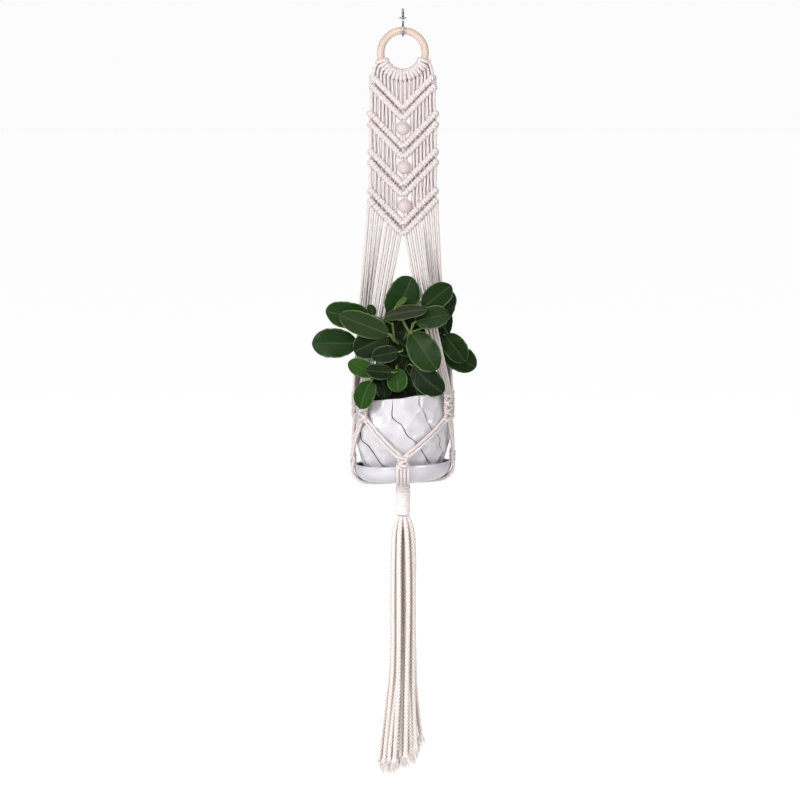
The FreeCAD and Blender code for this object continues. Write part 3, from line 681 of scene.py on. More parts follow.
# ---------------------------------------------------------------- hook and ring
def add_revolved(shape, profile, sides, value=1.0):
    """A profile of (radius, height) in mm, turned about Z."""
    profile = np.array(profile, float)
    angle = 2 * np.pi * np.arange(sides) / sides
    points = np.stack([profile[:, :1] * np.cos(angle), profile[:, :1] * np.sin(angle),
                       np.repeat(profile[:, 1:], sides, 1)], -1)
    shape.grid(points * MM, np.full(points.shape[:2], value), close_columns=True, flip=True)


def make_hook():
    """A cup hook: threaded shank, collar and a wire that curls round the ring's bar."""
    shape = Shape()
    wire = [(0, 0, -1.0), (0, 0, -3.2), (0, 0, -5.0)]
    throat, bend, centre, start = 7.25, 7.2, -17.5, -5.0
    lean_out = math.radians(59.9)
    wire += [(0, throat - throat * math.cos(t), start - throat * math.sin(t))
             for t in np.linspace(0, lean_out, 10)[1:]]
    wire += [(0, bend * math.cos(t), centre + bend * math.sin(t))
             for t in np.linspace(lean_out, math.radians(-188.0), 48)[1:]]
    last, before = np.array(wire[-1]), np.array(wire[-2])
    for reach in (1.2, 2.25, 3.0):
        wire.append(tuple(last + unit(last - before) * reach))
    add_rod(shape, np.array(wire) * MM, (1.4,), sides=24, step=0.45)
    collar = ((0.0, 0.0), (1.6, -0.02), (4.4, -0.02), (4.85, -0.2), (5.0, -0.55), (5.0, -1.1),
              (4.7, -1.5), (3.9, -1.8), (2.8, -1.95), (1.4, -2.3), (1.35, -2.6), (0.0, -2.6))
    add_revolved(shape, collar, 72)
    turns, steps, root, crest, half_pitch, height = 7.5, 300, 1.3, 0.68, 0.62, 12.0
    thread = []
    for t in np.linspace(0, 1, steps):
        angle, z = 2 * np.pi * turns * t, 0.3 + (height - 1.4) * t
        fade = min(1.0, 6 * (1 - t))
        thread.append([(r * math.cos(angle), r * math.sin(angle), z + dz) for r, dz in
                       ((root, -half_pitch), (root + crest * fade, 0.0), (root, half_pitch))])
    shape.grid(np.array(thread) * MM, close_columns=True)
    shank = ((0.0, -0.5), (1.42, -0.5), (1.42, 9.2), (1.2, 10.6), (0.5, 11.85), (0.0, height))
    add_revolved(shape, shank, 40)
    shape.piece("hook", [chrome], "hook_metal", "hook", ["ceiling_hook"])


def dress_ring():
    """The CAD's own ring, in wood."""
    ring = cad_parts["wooden_ring"]
    ring.data.materials.clear()
    ring.data.materials.append(ring_wood)


def ring_directions(degrees):
    """Outward from the ring's middle, and along its bar, at an angle from +X."""
    turn = math.radians(degrees)
    return (np.array((math.cos(turn), 0.0, math.sin(turn))),
            np.array((-math.sin(turn), 0.0, math.cos(turn))))


def make_larks_heads():
    """Each head is two turns round the bar, held by the fold that crosses them in front."""
    shape = Shape()
    hub = np.array((0, 0, -RING_DROP))
    fold = ((-5.6, 36.2, 0.5), (-5.9, 36.8, 4.8), (-3.6, 37.2, 8.2), (0.0, 37.6, 9.3),
            (3.6, 37.2, 8.2), (5.9, 36.8, 4.8), (5.6, 36.2, 0.5))
    for index in range(8):
        angle = knot_angle(index)
        for hand in (-1, 1):
            outward, along = ring_directions(angle + hand * 4.35 + rng.normal() * 0.3)
            add_wrap(shape, outward * RING_RADIUS + hub, along, outward, FRONT, 7.15, 2.25, 2.62,
                     tilt=0.35 * hand, phase=rng.uniform(), sides=18, depth=0.3)
        outward, along = ring_directions(angle)
        lay_cord(shape, [hub + outward * r + along * s - FRONT * f for s, r, f in fold], 2.2)
    shape.piece("larks_heads", [cotton], "cotton_cord", "ring", ["larks_head_knots"])


# ---------------------------------------------------------------- panel
TOP_NARROWING = 0.885
# how dark the painted shade is where the panel's strands lie against each other
STRAND_GLOOM = 0.90


def make_ring_strands():
    """From the lark's heads to the first chevron."""
    shape = Shape()
    for hand in (-1, 1):
        for order in range(8):
            angle = knot_angle(4 + order // 2) + 4.4 * (1 if order % 2 else -1)
            start = on_ring(angle, 34.0) * (hand, 1, 1)
            under = on_ring(angle, 38.5) * (hand, 1, 1)
            x = strand_x(hand, order) * TOP_NARROWING
            end = np.array((x, 0.0, row_height(CHEVRON_DROPS[0], x, 1) - 1.0))
            middle = np.array((0.3 * under[0] + 0.7 * x, rng.normal() * 0.5,
                               0.45 * under[2] + 0.55 * end[2]))
            lay_cord(shape, [start + FRONT * 3.0, under + FRONT * 1.5, middle, end], 2.55,
                     front=FRONT, gloom=STRAND_GLOOM,
                     open_side=(hand, 0, 0) if order == 7 else None)
    shape.piece("ring_strands", [cotton], "cotton_cord", replaces=["panel_strands_1"],
                blend=("ring", "macrame", (0, 0, -0.066), (0, 0, -0.090)))


def row_end(index, side):
    """How far out a row runs: the panel narrows towards the ring."""
    if index:
        return 45.4
    return 40.4 if side > 0 else 43.0


def add_row(shape, drop, side, hand, last_x):
    """Half a V of double half hitches: pairs of turns round the holding cord."""
    way = unit(np.array((hand, 0.0, SLOPE)))
    across = np.cross(way, (0.0, 1.0, 0.0)) * hand
    start = np.array((0.0, 0.0, row_height(drop, 0, side)))
    length_of = 1.0 / abs(way[0])
    first, last = 0.15 * length_of, last_x * length_of
    hitches = round((last - first) / (STRAND_PITCH * length_of))
    bow = rng.normal() * 0.55
    pitch = (last - first) / hitches
    for index in range(hitches):
        for turn in (0.27, 0.75):
            at = first + (index + turn) * pitch + rng.normal() * 0.12
            swell = 1.0 + rng.normal() * 0.02
            middle = start + way * at + across * bow * math.sin(math.pi * at / last)
            add_wrap(shape, middle, way, FRONT, across, 3.3 * swell, 1.85, 2.72,
                     tilt=hand * 0.6 + rng.normal() * 0.16, phase=rng.uniform(), depth=0.26,
                     gloom=0.85, shaded=across)
    # the holding cord, painted at the shade tone where it shows between the turns
    add_rod(shape, np.array([start + way * (first + 0.5), start + way * (last - 0.4)]) * MM,
            (2.2, 2.2), sides=16, value=0.3)


def add_edge_loop(shape, drop, hand, upper_x, lower_x):
    """The holding cord turns down at the panel's edge, from one row into the next."""
    loop = ((-4.0, 0.3, -3.4), (-0.4, -0.6, 0.6), (1.7, -0.4, -0.6), (1.2, 0.3, -5.4),
            (-2.4, 0.6, -9.4))
    for x, side in ((upper_x, 1), (lower_x, -1)):
        z = row_height(drop, x, side)
        lay_cord(shape, [(hand * (x + dx), y, z + dz) for dx, y, dz in loop], 2.2)


def make_chevrons():
    """Each has two rows to a side, and a cord behind them for each strand that passes."""
    for index, drop in enumerate(CHEVRON_DROPS):
        shape = Shape()
        for hand in (-1, 1):
            for side in (1, -1):
                add_row(shape, drop, side, hand, row_end(index, side))
            add_edge_loop(shape, drop, hand, row_end(index, 1), row_end(index, -1))
            for order in range(8):
                x = strand_x(hand, order) * 0.94
                z = row_height(drop, x, 0)
                behind = np.array([(x, 2.2, z + 6.5), (x, 2.6, z), (x, 2.2, z - 6.5)])
                add_cord(shape, behind * MM, 2.3, phase=rng.uniform(), front=FRONT, gloom=0.6)
        shape.piece("hitches_%d" % (index + 1), [cotton], "cotton_cord", "macrame",
                    ["chevron_%d" % (index + 1)])


def slack(start, end, sway, depth=0.5):
    """A nearly straight route with a little sideways and fore-and-aft slack."""
    start, end = np.array(start, float), np.array(end, float)
    side = np.array((rng.normal() * sway, rng.normal() * depth, 0))
    other = np.array((rng.normal() * sway, rng.normal() * depth, 0))
    return [start, 0.68 * start + 0.32 * end + side, 0.32 * start + 0.68 * end + other, end]


def make_gap_strands():
    """Between two chevrons: two strands through the bead, and seven more on each side."""
    for index, (shift, drop) in enumerate(BEADS):
        shape = Shape()
        upper, lower = CHEVRON_DROPS[index], CHEVRON_DROPS[index + 1]
        for hand in (-1, 1):
            x = shift + hand * 2.35
            top = row_height(upper, x, -1) + 1.0
            bottom = row_height(lower, x, 1) + 2.0
            route = [(x, 0, z) for z in (top, -drop + 12, -drop, -drop - 12, bottom)]
            lay_cord(shape, route, 0.5 * CORD)
        inner = BEAD_RADIUS + 2.75
        outer = 43.6 if index else 42.2
        for hand in (-1, 1):
            innermost = inner + hand * shift
            pitch = (outer - innermost) / 6
            for order in range(7):
                x = hand * (innermost + order * pitch)
                top = (x, 0, row_height(upper, x, -1) - 1.0)
                bottom = (x, 0, row_height(lower, x, 1) + 1.0)
                lay_cord(shape, slack(top, bottom, 0.6), 2.5, front=FRONT, gloom=STRAND_GLOOM,
                         open_side=(hand, 0, 0) if order == 6 else None)
        shape.piece("gap_strands_%d" % (index + 1), [cotton], "cotton_cord", "macrame",
                    ["panel_strands_%d" % (index + 2)])


def make_beads():
    """Turned wooden balls with eased edges at both ends of the bore."""
    edge = math.asin((BEAD_BORE + 0.55) / BEAD_RADIUS)
    outline = [(BEAD_BORE, -7.6), (BEAD_BORE, 0.0), (BEAD_BORE, 7.6), (BEAD_BORE + 0.2, 7.95)]
    outline += [(BEAD_RADIUS * math.sin(t), BEAD_RADIUS * math.cos(t))
                for t in np.linspace(edge, np.pi - edge, 44)]
    outline += [(BEAD_BORE + 0.2, -7.95), (BEAD_BORE, -7.6)]
    for number, (shift, drop) in enumerate(BEADS, start=1):
        shape = Shape()
        add_revolved(shape, outline[::-1], 72)
        name = "bead_%d" % number
        shape.piece(name + "_turned", [bead_wood], "bead_wood", name, [name],
                    location=(shift * MM, 0.0, -drop * MM))


# ---------------------------------------------------------------- legs, knots and cradle
# strands that make up each leg: hand, first strand, order across the knot, sideways bow
LEGS = {
    "front_left": (-1, 0, -1, 0.0),
    "front_right": (1, 0, 1, -4.5),
    "back_left": (-1, 4, 1, 0.0),
    "back_right": (1, 4, -1, -3.5),
}
LEG_SPACING = 4.9


def make_legs():
    """Four strands to a leg, from under the last chevron down to its upper knot."""
    for name, (hand, first, across, bow) in LEGS.items():
        shape = Shape()
        for order in range(4):
            x = strand_x(hand, first + order)
            start = np.array((x, 0.0, row_height(CHEVRON_DROPS[-1], x, -1) - 1.0))
            sideways = across * (order - 1.5) * LEG_SPACING
            end = around(UPPER_KNOTS[name], KNOT_RADIUS, -509.0, sideways)
            above = around(UPPER_KNOTS[name], KNOT_RADIUS, -496.0, sideways)
            run = end - start
            middle = start + run * 0.42 + (bow + rng.normal() * 0.5, rng.normal() * 0.5, 0)
            low = start + run * 0.74 + (bow * 0.35 + rng.normal() * 0.5, rng.normal() * 0.5, 0)
            route = [start, start + run * 0.12 + (bow * 0.3, 0, 0), middle, low,
                     0.6 * above + 0.4 * (start + run * 0.94), end]
            open_side = {0: (-hand, 0, 0), 3: (hand, 0, 0)}.get(order)
            lay_cord(shape, route, 0.5 * CORD, front=FRONT, gloom=0.62, open_side=open_side)
        shape.piece("leg_cords_" + name, [cotton], "cotton_cord", "macrame", ["leg_" + name])


def add_sinnet(shape, azimuth, radius, top, length, half_width, knots, lower=False):
    """A sinnet of square knots: one cord always crosses in front, the other behind."""
    def place(side, out, z):
        point = around(azimuth, radius + out, z, side)
        return settle(point) if lower else point

    def straight(points, cord_radius):
        add_cord(shape, np.array(points) * MM, cord_radius, phase=rng.uniform())

    t = np.linspace(0.0, knots, 14 * knots + 1)
    drop = top - length * (t / knots)
    reach = half_width - 2.5
    middle = np.abs(np.sin(np.pi * t))
    outward = around(azimuth, 1.0, 0.0)
    front = [place(-reach * math.cos(np.pi * a), 3.5 * m ** 0.7 - 0.3, z)
             for a, m, z in zip(t, middle, drop)]
    back = [place(reach * math.cos(np.pi * a), 2.3 - 2.7 * m ** 0.6, z)
            for a, m, z in zip(t, middle, drop)]
    for line in (front, back):
        add_cord(shape, np.array(line) * MM, 2.75, phase=rng.uniform(), front=outward, gloom=0.25)
    bottom = top - length
    for side in (-1, 1):
        for share in (2.1, 5.2):
            straight([place(side * share, 0.5, top + 0.5), place(side * share, 0.7, top - 0.5 * length),
                      place(side * share, 0.5, bottom - 0.5)], 2.3)
        for upper, under in ((top + 2.5, top - 2.0), (bottom + 2.0, bottom - 2.5)):
            straight([place(side * (half_width - 2.4), 0.2, z)
                      for z in (upper, 0.5 * (upper + under), under)], 2.2)


def make_knots():
    for name, azimuth in UPPER_KNOTS.items():
        shape = Shape()
        add_sinnet(shape, azimuth, KNOT_RADIUS, -507.0, 36.0, 8.6, 6)
        shape.piece("sinnet_" + name, [cotton], "cotton_cord", "macrame", ["upper_knot_" + name])
    for name, azimuth in LOWER_KNOTS.items():
        shape = Shape()
        snug = 0.0 if name in ("front", "back") else 1.0
        add_sinnet(shape, azimuth, 67.5 - 1.4 * snug, -588.0, 15.0, 8.2 - 0.8 * snug, 3, lower=True)
        shape.piece("square_knot_" + name, [cotton], "cotton_cord", "macrame", ["lower_knot_" + name])


# the lower knots that each upper knot's two pairs of cords run to
CRADLE = {
    "front_left": ("left", "front"),
    "front_right": ("front", "right"),
    "back_right": ("right", "back"),
    "back_left": ("back", "left"),
}


def cradle_pair(upper, lower):
    """Two cords side by side over the pot's belly, from an upper to a lower knot."""
    turn = (lower - upper + 180.0) % 360.0 - 180.0
    reach = math.radians(turn) * CRADLE_RADIUS
    hand = 1 if reach > 0 else -1
    top, bottom = (hand * 5.5, -542.0), (reach - hand * 4.5, -589.0)
    run = (bottom[0] - top[0], bottom[1] - top[1])
    length = math.hypot(*run)
    normal = (-run[1] / length, run[0] / length)
    for shift in (-2.35, 2.35):
        route = []
        for share in (-0.06, 0.0, 0.25, 0.5, 0.75, 1.0, 1.06):
            spread = shift * (0.75 if share in (-0.06, 1.06) else 1.0)
            arc = top[0] + run[0] * share + normal[0] * spread
            z = top[1] + run[1] * share + normal[1] * spread
            route.append(around(upper + math.degrees(arc / CRADLE_RADIUS), CRADLE_RADIUS, z))
        yield settle(route)


def make_cradle():
    for name, targets in CRADLE.items():
        shape = Shape()
        for target in targets:
            for route in cradle_pair(UPPER_KNOTS[name], LOWER_KNOTS[target]):
                lay_cord(shape, route, 0.5 * CORD - 0.1)
        shape.piece("cradle_pairs_" + name, [cotton], "cotton_cord", "macrame",
                    ["cradle_cords_" + name])


# the four cords that hang from each lower knot, by their places across it
UNDER_KNOT_SPACING = 4.75
UNDER_KNOT = tuple((order - 1.5) * UNDER_KNOT_SPACING for order in range(4))


def make_saucer_cords():
    """From each lower knot, over the saucer's rim and under its foot to the middle."""
    stations = ((67.6, -599.0), (67.8, -603.0), (69.6, -608.0), (67.6, -617.5), (58.0, -626.5),
                (44.0, -628.9), (12.6, -628.75))
    for name, azimuth in LOWER_KNOTS.items():
        shape = Shape()
        for sideways in UNDER_KNOT:
            lay_cord(shape, settle([around(azimuth, radius, z, sideways) for radius, z in stations]),
                     0.5 * CORD)
        shape.piece("under_saucer_" + name, [cotton], "cotton_cord", "macrame",
                    ["saucer_cords_" + name])


def make_gathered_cords():
    """The sixteen cords turn down together into the wrap."""
    shape = Shape()
    stations = ((15.5, -628.8, 1.0), (10.5, -629.0, 0.9), (6.2, -631.0, 0.55), (5.0, -637.0, 0.5),
                (5.2, -646.0, 0.5))
    for azimuth in LOWER_KNOTS.values():
        for sideways in UNDER_KNOT:
            lay_cord(shape, [around(azimuth, radius, z, sideways * share)
                             for radius, z, share in stations], 2.1)
    shape.piece("gathered_cords", [cotton], "cotton_cord",
                blend=("macrame", "neck", (0, 0, -0.6305), (0, 0, -0.645)))


def make_wrap():
    """Ten turns of cord wound tight round the gathered cords, with the core inside."""
    shape = Shape()
    turns, top, bottom = 10.0, -632.6, -673.8
    t = np.linspace(0.0, 1.0, 700)
    angle = 2 * np.pi * turns * t
    z = top + (bottom - top) * t
    radius = WRAP_RADIUS - 2.15 + 0.12 * np.sin(angle * 0.37) - 1.3 * np.clip((z + 636.5) / 4.0, 0, 1)
    line = np.stack([radius * np.cos(angle), radius * np.sin(angle), z], 1) * MM
    add_cord(shape, line, 2.75, step=0.7, depth=0.22, pale=0.45)
    # the core, painted dark as shade where it shows between the turns
    add_revolved(shape, ((0.0, -676.6), (5.6, -676.4), (6.6, -674.0), (6.8, -655.0), (6.4, -636.0),
                         (5.0, -632.4), (0.0, -631.4)), 40, value=0.2)
    shape.piece("wrap_turns", [cotton], "cotton_cord", "neck", ["gathering_wrap"])


# ---------------------------------------------------------------- pot, saucer, potting mix
def arc_points(a, via, b, count):
    """Points on the arc from a through via to b."""
    ax, ay, bx, by, cx, cy = *a, *via, *b
    d = 2 * (ax * (by - cy) + bx * (cy - ay) + cx * (ay - by))
    ux = ((ax**2 + ay**2) * (by - cy) + (bx**2 + by**2) * (cy - ay) + (cx**2 + cy**2) * (ay - by)) / d
    uy = ((ax**2 + ay**2) * (cx - bx) + (bx**2 + by**2) * (ax - cx) + (cx**2 + cy**2) * (bx - ax)) / d
    radius = math.hypot(ax - ux, ay - uy)
    first, last = math.atan2(ay - uy, ax - ux), math.atan2(cy - uy, cx - ux)
    turn = (last - first + np.pi) % (2 * np.pi) - np.pi
    angles = first + turn * np.linspace(0, 1, count)
    return np.stack([ux + radius * np.cos(angles), uy + radius * np.sin(angles)], 1)


POT_WALL = arc_points((47.0, -621.2), (64.3, -566.0), (61.3, -513.5), 90)
# the rim's rise and fall round the pot: azimuth from the front, height in mm
RIM_WAVE = ((-180, 0.5), (-140, -1.2), (-95, 1.0), (-62, 0.3), (-40, -1.8), (-20, 0.2), (-4, 0.8),
            (18, 3.6), (38, 3.0), (58, 3.6), (92, 1.6), (128, -1.2), (180, 0.5))


def facet_centres():
    """Middles of the thumbed dents: (azimuth, height)."""
    draws = np.random.default_rng(7)
    centres = []
    for row, z in enumerate(np.linspace(-520.0, -612.0, 6)):
        for step in range(13):
            azimuth = -180 + 360 / 13 * (step + 0.5 * (row % 2)) + draws.normal() * 4.5
            centres.append((azimuth, z + draws.normal() * 3.5))
    return np.array(centres)


FACETS = facet_centres()
POT_SIDES = 300


def dents(azimuth, z):
    """How far the dented wall stands out from the smooth one, in mm, at each point."""
    radius, spread, blend, inward = 62.0, 74.0, 2.6, 1.95
    turn = (azimuth[..., None] - FACETS[:, 0] + 180.0) % 360.0 - 180.0
    far = (np.radians(turn) * radius) ** 2 + (z[..., None] - FACETS[:, 1]) ** 2
    soft = -np.log(np.exp(-far / spread * blend).sum(-1)) / blend
    return np.clip(soft, -0.5, 2.6) - inward


def lean(points):
    """The same small tilt as settle gives, over the whole pot."""
    points = np.array(points, float)
    points[..., 2] += TILT * points[..., 0]
    return points


def rim_rise(azimuth, z):
    wave = np.array(RIM_WAVE, float)
    at = np.interp(azimuth, wave[:, 0], wave[:, 1])
    level, below_rim = -556.0, 42.5
    share = np.clip((z - level) / below_rim, 0, 1)
    return at * share * share


def from_front(radius, turn, z):
    """Points at a radius and height, turned from the front by turn in radians."""
    return np.stack([radius * np.sin(turn), -radius * np.cos(turn), z], -1)


def round_the_pot():
    return np.linspace(-180, 180, POT_SIDES, endpoint=False)


def wall_point(azimuth, z, lift):
    """A point on the pot's outer wall, at nominal height z, lifted off it by lift."""
    radius = np.interp(z, POT_WALL[:, 1], POT_WALL[:, 0]) + dents(azimuth, z) + lift
    return lean(from_front(radius, np.radians(azimuth), z + rim_rise(azimuth, z)))


def make_pot():
    """A turned wall with dents and the wavy rim; share says how much each height is dented."""
    shape = Shape()
    inner = arc_points((39.0, -616.2), (58.1, -563.0), (56.0, -513.5), 50)[::-1][2:]
    foot = [(0.0, -620.4), (20.0, -620.4), (43.0, -620.6), (45.5, -621.2), (47.0, -620.6)]
    outer = POT_WALL[2:-1]
    lip = [(60.7, -512.8), (60.2, -512.1), (59.3, -511.6), (58.3, -511.6), (57.3, -512.0),
           (56.6, -512.7)]
    profile = np.concatenate([foot, outer, lip, inner, [(30.0, -616.2), (0.0, -616.2)]])
    share = np.concatenate([(0.0, 0.0, 0.0, 0.0, 0.3), np.full(len(outer), 1.0),
                            (1.0, 0.95, 0.9, 0.8, 0.7, 0.6), np.full(len(inner), 0.5), (0.0, 0.0)])
    a, z = np.meshgrid(round_the_pot(), profile[:, 1])
    radius = profile[:, :1] + dents(a, z) * share[:, None]
    points = from_front(radius, np.radians(a), z + rim_rise(a, z))
    shape.grid(lean(points) * MM, close_columns=True, flip=True)
    shape.piece("pot_dented", [pot_glaze], "pot_glaze", "planted_pot", ["pot"])


# black lines in the glaze: (x, height) as seen from the front
CRACKS = (
    ((-62.3, -546), (-59, -560), (-55, -569.5), (-47, -575), (-43.5, -578), (-39, -584), (-37, -589),
     (-32, -597), (-25, -603), (-20, -607)),
    ((-14, -512.5), (-14.7, -523), (-15.2, -529), (-14.4, -536), (-9, -541), (-3, -545), (0.6, -550),
     (3.5, -557), (7, -562), (12, -566), (18, -571), (24, -580), (29.5, -590), (33, -596), (39, -604)),
    ((22.4, -511), (21.8, -517), (22.0, -523), (27, -529), (31, -536), (33, -544), (37.4, -551),
     (41, -557), (45, -562), (49, -566), (51.7, -570.5), (50.3, -578.5), (52.0, -583), (53, -592)),
)


def make_cracks():
    """Thin rods just proud of the wall; a second, wider-spread set is at the back."""
    shape = Shape()
    draws = np.random.default_rng(3)
    for turned, stretch, drop in ((0.0, 1.0, 0.0), (182.0, 1.25, 0.8431)):
        for crack, bold in zip(CRACKS, (0.80, 0.56, 0.42)):
            azimuths, heights = [], []
            for x, z in crack:
                radius = float(np.interp(z, POT_WALL[:, 1], POT_WALL[:, 0]))
                azimuths.append(turned + stretch * math.degrees(math.asin(max(-1, min(1, x / radius)))))
                heights.append(max(-613.0, min(-512.5, z - drop)) if drop else z)
            count = len(crack)
            t = np.linspace(0, count - 1, 9 * count)
            a = np.interp(t, np.arange(count), azimuths) + draws.normal(size=len(t)) * 0.16
            z = np.interp(t, np.arange(count), heights) + draws.normal(size=len(t)) * 0.14
            line = wall_point((a + 180.0) % 360.0 - 180.0, z, lift=0.02) * MM
            width = bold + 0.14 * draws.normal(size=9)
            add_rod(shape, line, np.clip(np.concatenate([[0.15], width, [0.15]]), 0.16, 1.05), sides=6)
    shape.piece("glaze_cracks", [crack_black], "pot_glaze", "planted_pot")


def make_saucer():
    """A shallow dish with an uneven rim, and a painted shadow inside below the rim."""
    shape = Shape()
    outer = arc_points((48.0, -626.0), (62.6, -617.6), (66.3, -604.0), 26)
    inner = arc_points((51.0, -621.5), (60.2, -614.2), (62.6, -604.0), 20)
    foot = [(0.0, -624.9), (30.0, -624.9), (42.5, -625.0), (44.0, -626.0)]
    rim = [(65.9, -603.3), (65.3, -602.6), (64.3, -602.3), (63.2, -602.5), (62.4, -603.2)]
    profile = np.concatenate([foot, outer, rim, inner[::-1], [(30.0, -621.5), (0.0, -621.5)]])
    a, z = np.meshgrid(round_the_pot(), profile[:, 1])
    turn = np.radians(a)
    up = np.clip((z + 626.0) / 22.0, 0, 1)
    wobble = 0.45 * np.sin(3 * turn + 0.7) + 0.3 * np.sin(7 * turn + 2.1) + 0.2 * np.sin(12 * turn)
    radius = profile[:, :1] + wobble * up - 0.35 * up
    rise = (0.5 * np.sin(2 * turn + 0.4) + 0.35 * np.sin(5 * turn + 1.0)) * up ** 2
    # painted shadow mask: relief 0 on the inner wall below the rim
    shown = np.ones(len(profile))
    within = len(foot) + len(outer) + len(rim)
    shown[within:] = np.clip((profile[within:, 1] + 605.0) / 1.8, 0, 1)
    shape.grid(lean(from_front(radius, turn, z + rise)) * MM, np.repeat(shown[:, None], POT_SIDES, 1),
               close_columns=True, flip=True)
    shape.piece("saucer_glazed", [saucer_glaze], "saucer_glaze", "macrame", ["saucer"])


def make_soil():
    """A loose mound of potting mix with clods and bark on it."""
    shape = Shape()
    draws = np.random.default_rng(11)
    rings, sides, edge, first = 44, 120, 55.4, 0.01
    share = np.linspace(first, 1.0, rings)[:, None] * np.ones(sides)
    turn = np.linspace(0, 2 * np.pi, sides, endpoint=False)[None, :] * np.ones((rings, 1))
    x, y = edge * share * np.sin(turn), -edge * share * np.cos(turn)
    z = -516.5 + 13.0 * (1 - share ** 2) ** 1.2
    for _ in range(46):
        cx, cy = draws.uniform(-50, 50, 2)
        size, tall = draws.uniform(3, 9), draws.uniform(-1.2, 2.4)
        z = z + tall * np.exp(-((x - cx) ** 2 + (y - cy) ** 2) / (2 * size ** 2)) * (1 - share ** 6)
    z = z + draws.normal(size=z.shape) * 0.35 * (share > 0.03)
    mound = np.stack([x, y, z], -1)
    shape.grid(lean(mound) * MM, close_columns=True)
    under = mound[-1] * (0.97, 0.97, 0.0) - (0.0, 0.0, 545.0)
    shape.grid(lean(np.stack([mound[-1], under])) * MM, close_columns=True)
    lat = np.linspace(0.12, np.pi - 0.12, 7)[:, None]
    lon = np.linspace(0, 2 * np.pi, 8, endpoint=False)[None, :]
    ball = np.stack([np.sin(lat) * np.cos(lon), np.sin(lat) * np.sin(lon),
                     np.cos(lat) * np.ones_like(lon)], -1)
    for _ in range(520):
        angle, out = draws.uniform(0, 2 * np.pi), 53 * math.sqrt(draws.uniform(0, 1))
        near = int(round((out / edge - first) / (1 - first) * (rings - 1)))
        column = int(round(angle / (2 * np.pi) * sides)) % sides
        place = (out * math.sin(angle), -out * math.cos(angle), z[near, column] + 0.3)
        size = draws.uniform(0.7, 2.6) * np.array((1.0, draws.uniform(0.5, 1.0), draws.uniform(0.4, 0.9)))
        rough = 1 + 0.22 * draws.normal(size=ball.shape[:2])[..., None]
        spin = draws.uniform(0, np.pi)
        c, s = math.cos(spin), math.sin(spin)
        clod = (ball * rough * size) @ np.array(((c, s, 0.0), (-s, c, 0.0), (0.0, 0.0, 1.0)))
        shape.grid(lean(clod + place) * MM, close_columns=True)
    shape.piece("potting_mix_mound", [soil_dark], "potting_mix", "planted_pot", ["potting_mix"],
                smooth=False)


# ---------------------------------------------------------------- plant
# each joint of the stem: its place, its colour from woody 0 to green 1, and its radius
STEM = {
    "soil": ((2.0, -4.0, -525.0), 0.0, 3.2),
    "low": ((-2.0, -8.0, -480.0), 0.12, 2.7),
    "middle": ((2.0, -14.0, -446.0), 0.3, 2.3),
    "fork": ((9.0, -34.0, -424.0), 0.5, 1.9),
    "top": ((-2.0, -33.0, -405.0), 0.75, 1.6),
    "left": ((-12.0, -34.0, -434.0), 0.45, 1.8),
    "upper_left": ((-14.0, -37.0, -412.0), 0.7, 1.5),
}
STEM_RUNS = (("soil", "low"), ("low", "middle"), ("middle", "fork"), ("fork", "top"),
             ("middle", "left"), ("left", "upper_left"))
DARK, MID, GREY, PALE, BRIGHT, YOUNG = (
    (0.0040, 0.0135, 0.0018), (0.0080, 0.0275, 0.0035), (0.033, 0.038, 0.022),
    (0.019, 0.037, 0.011), (0.014, 0.058, 0.0015), (0.07, 0.12, 0.02))
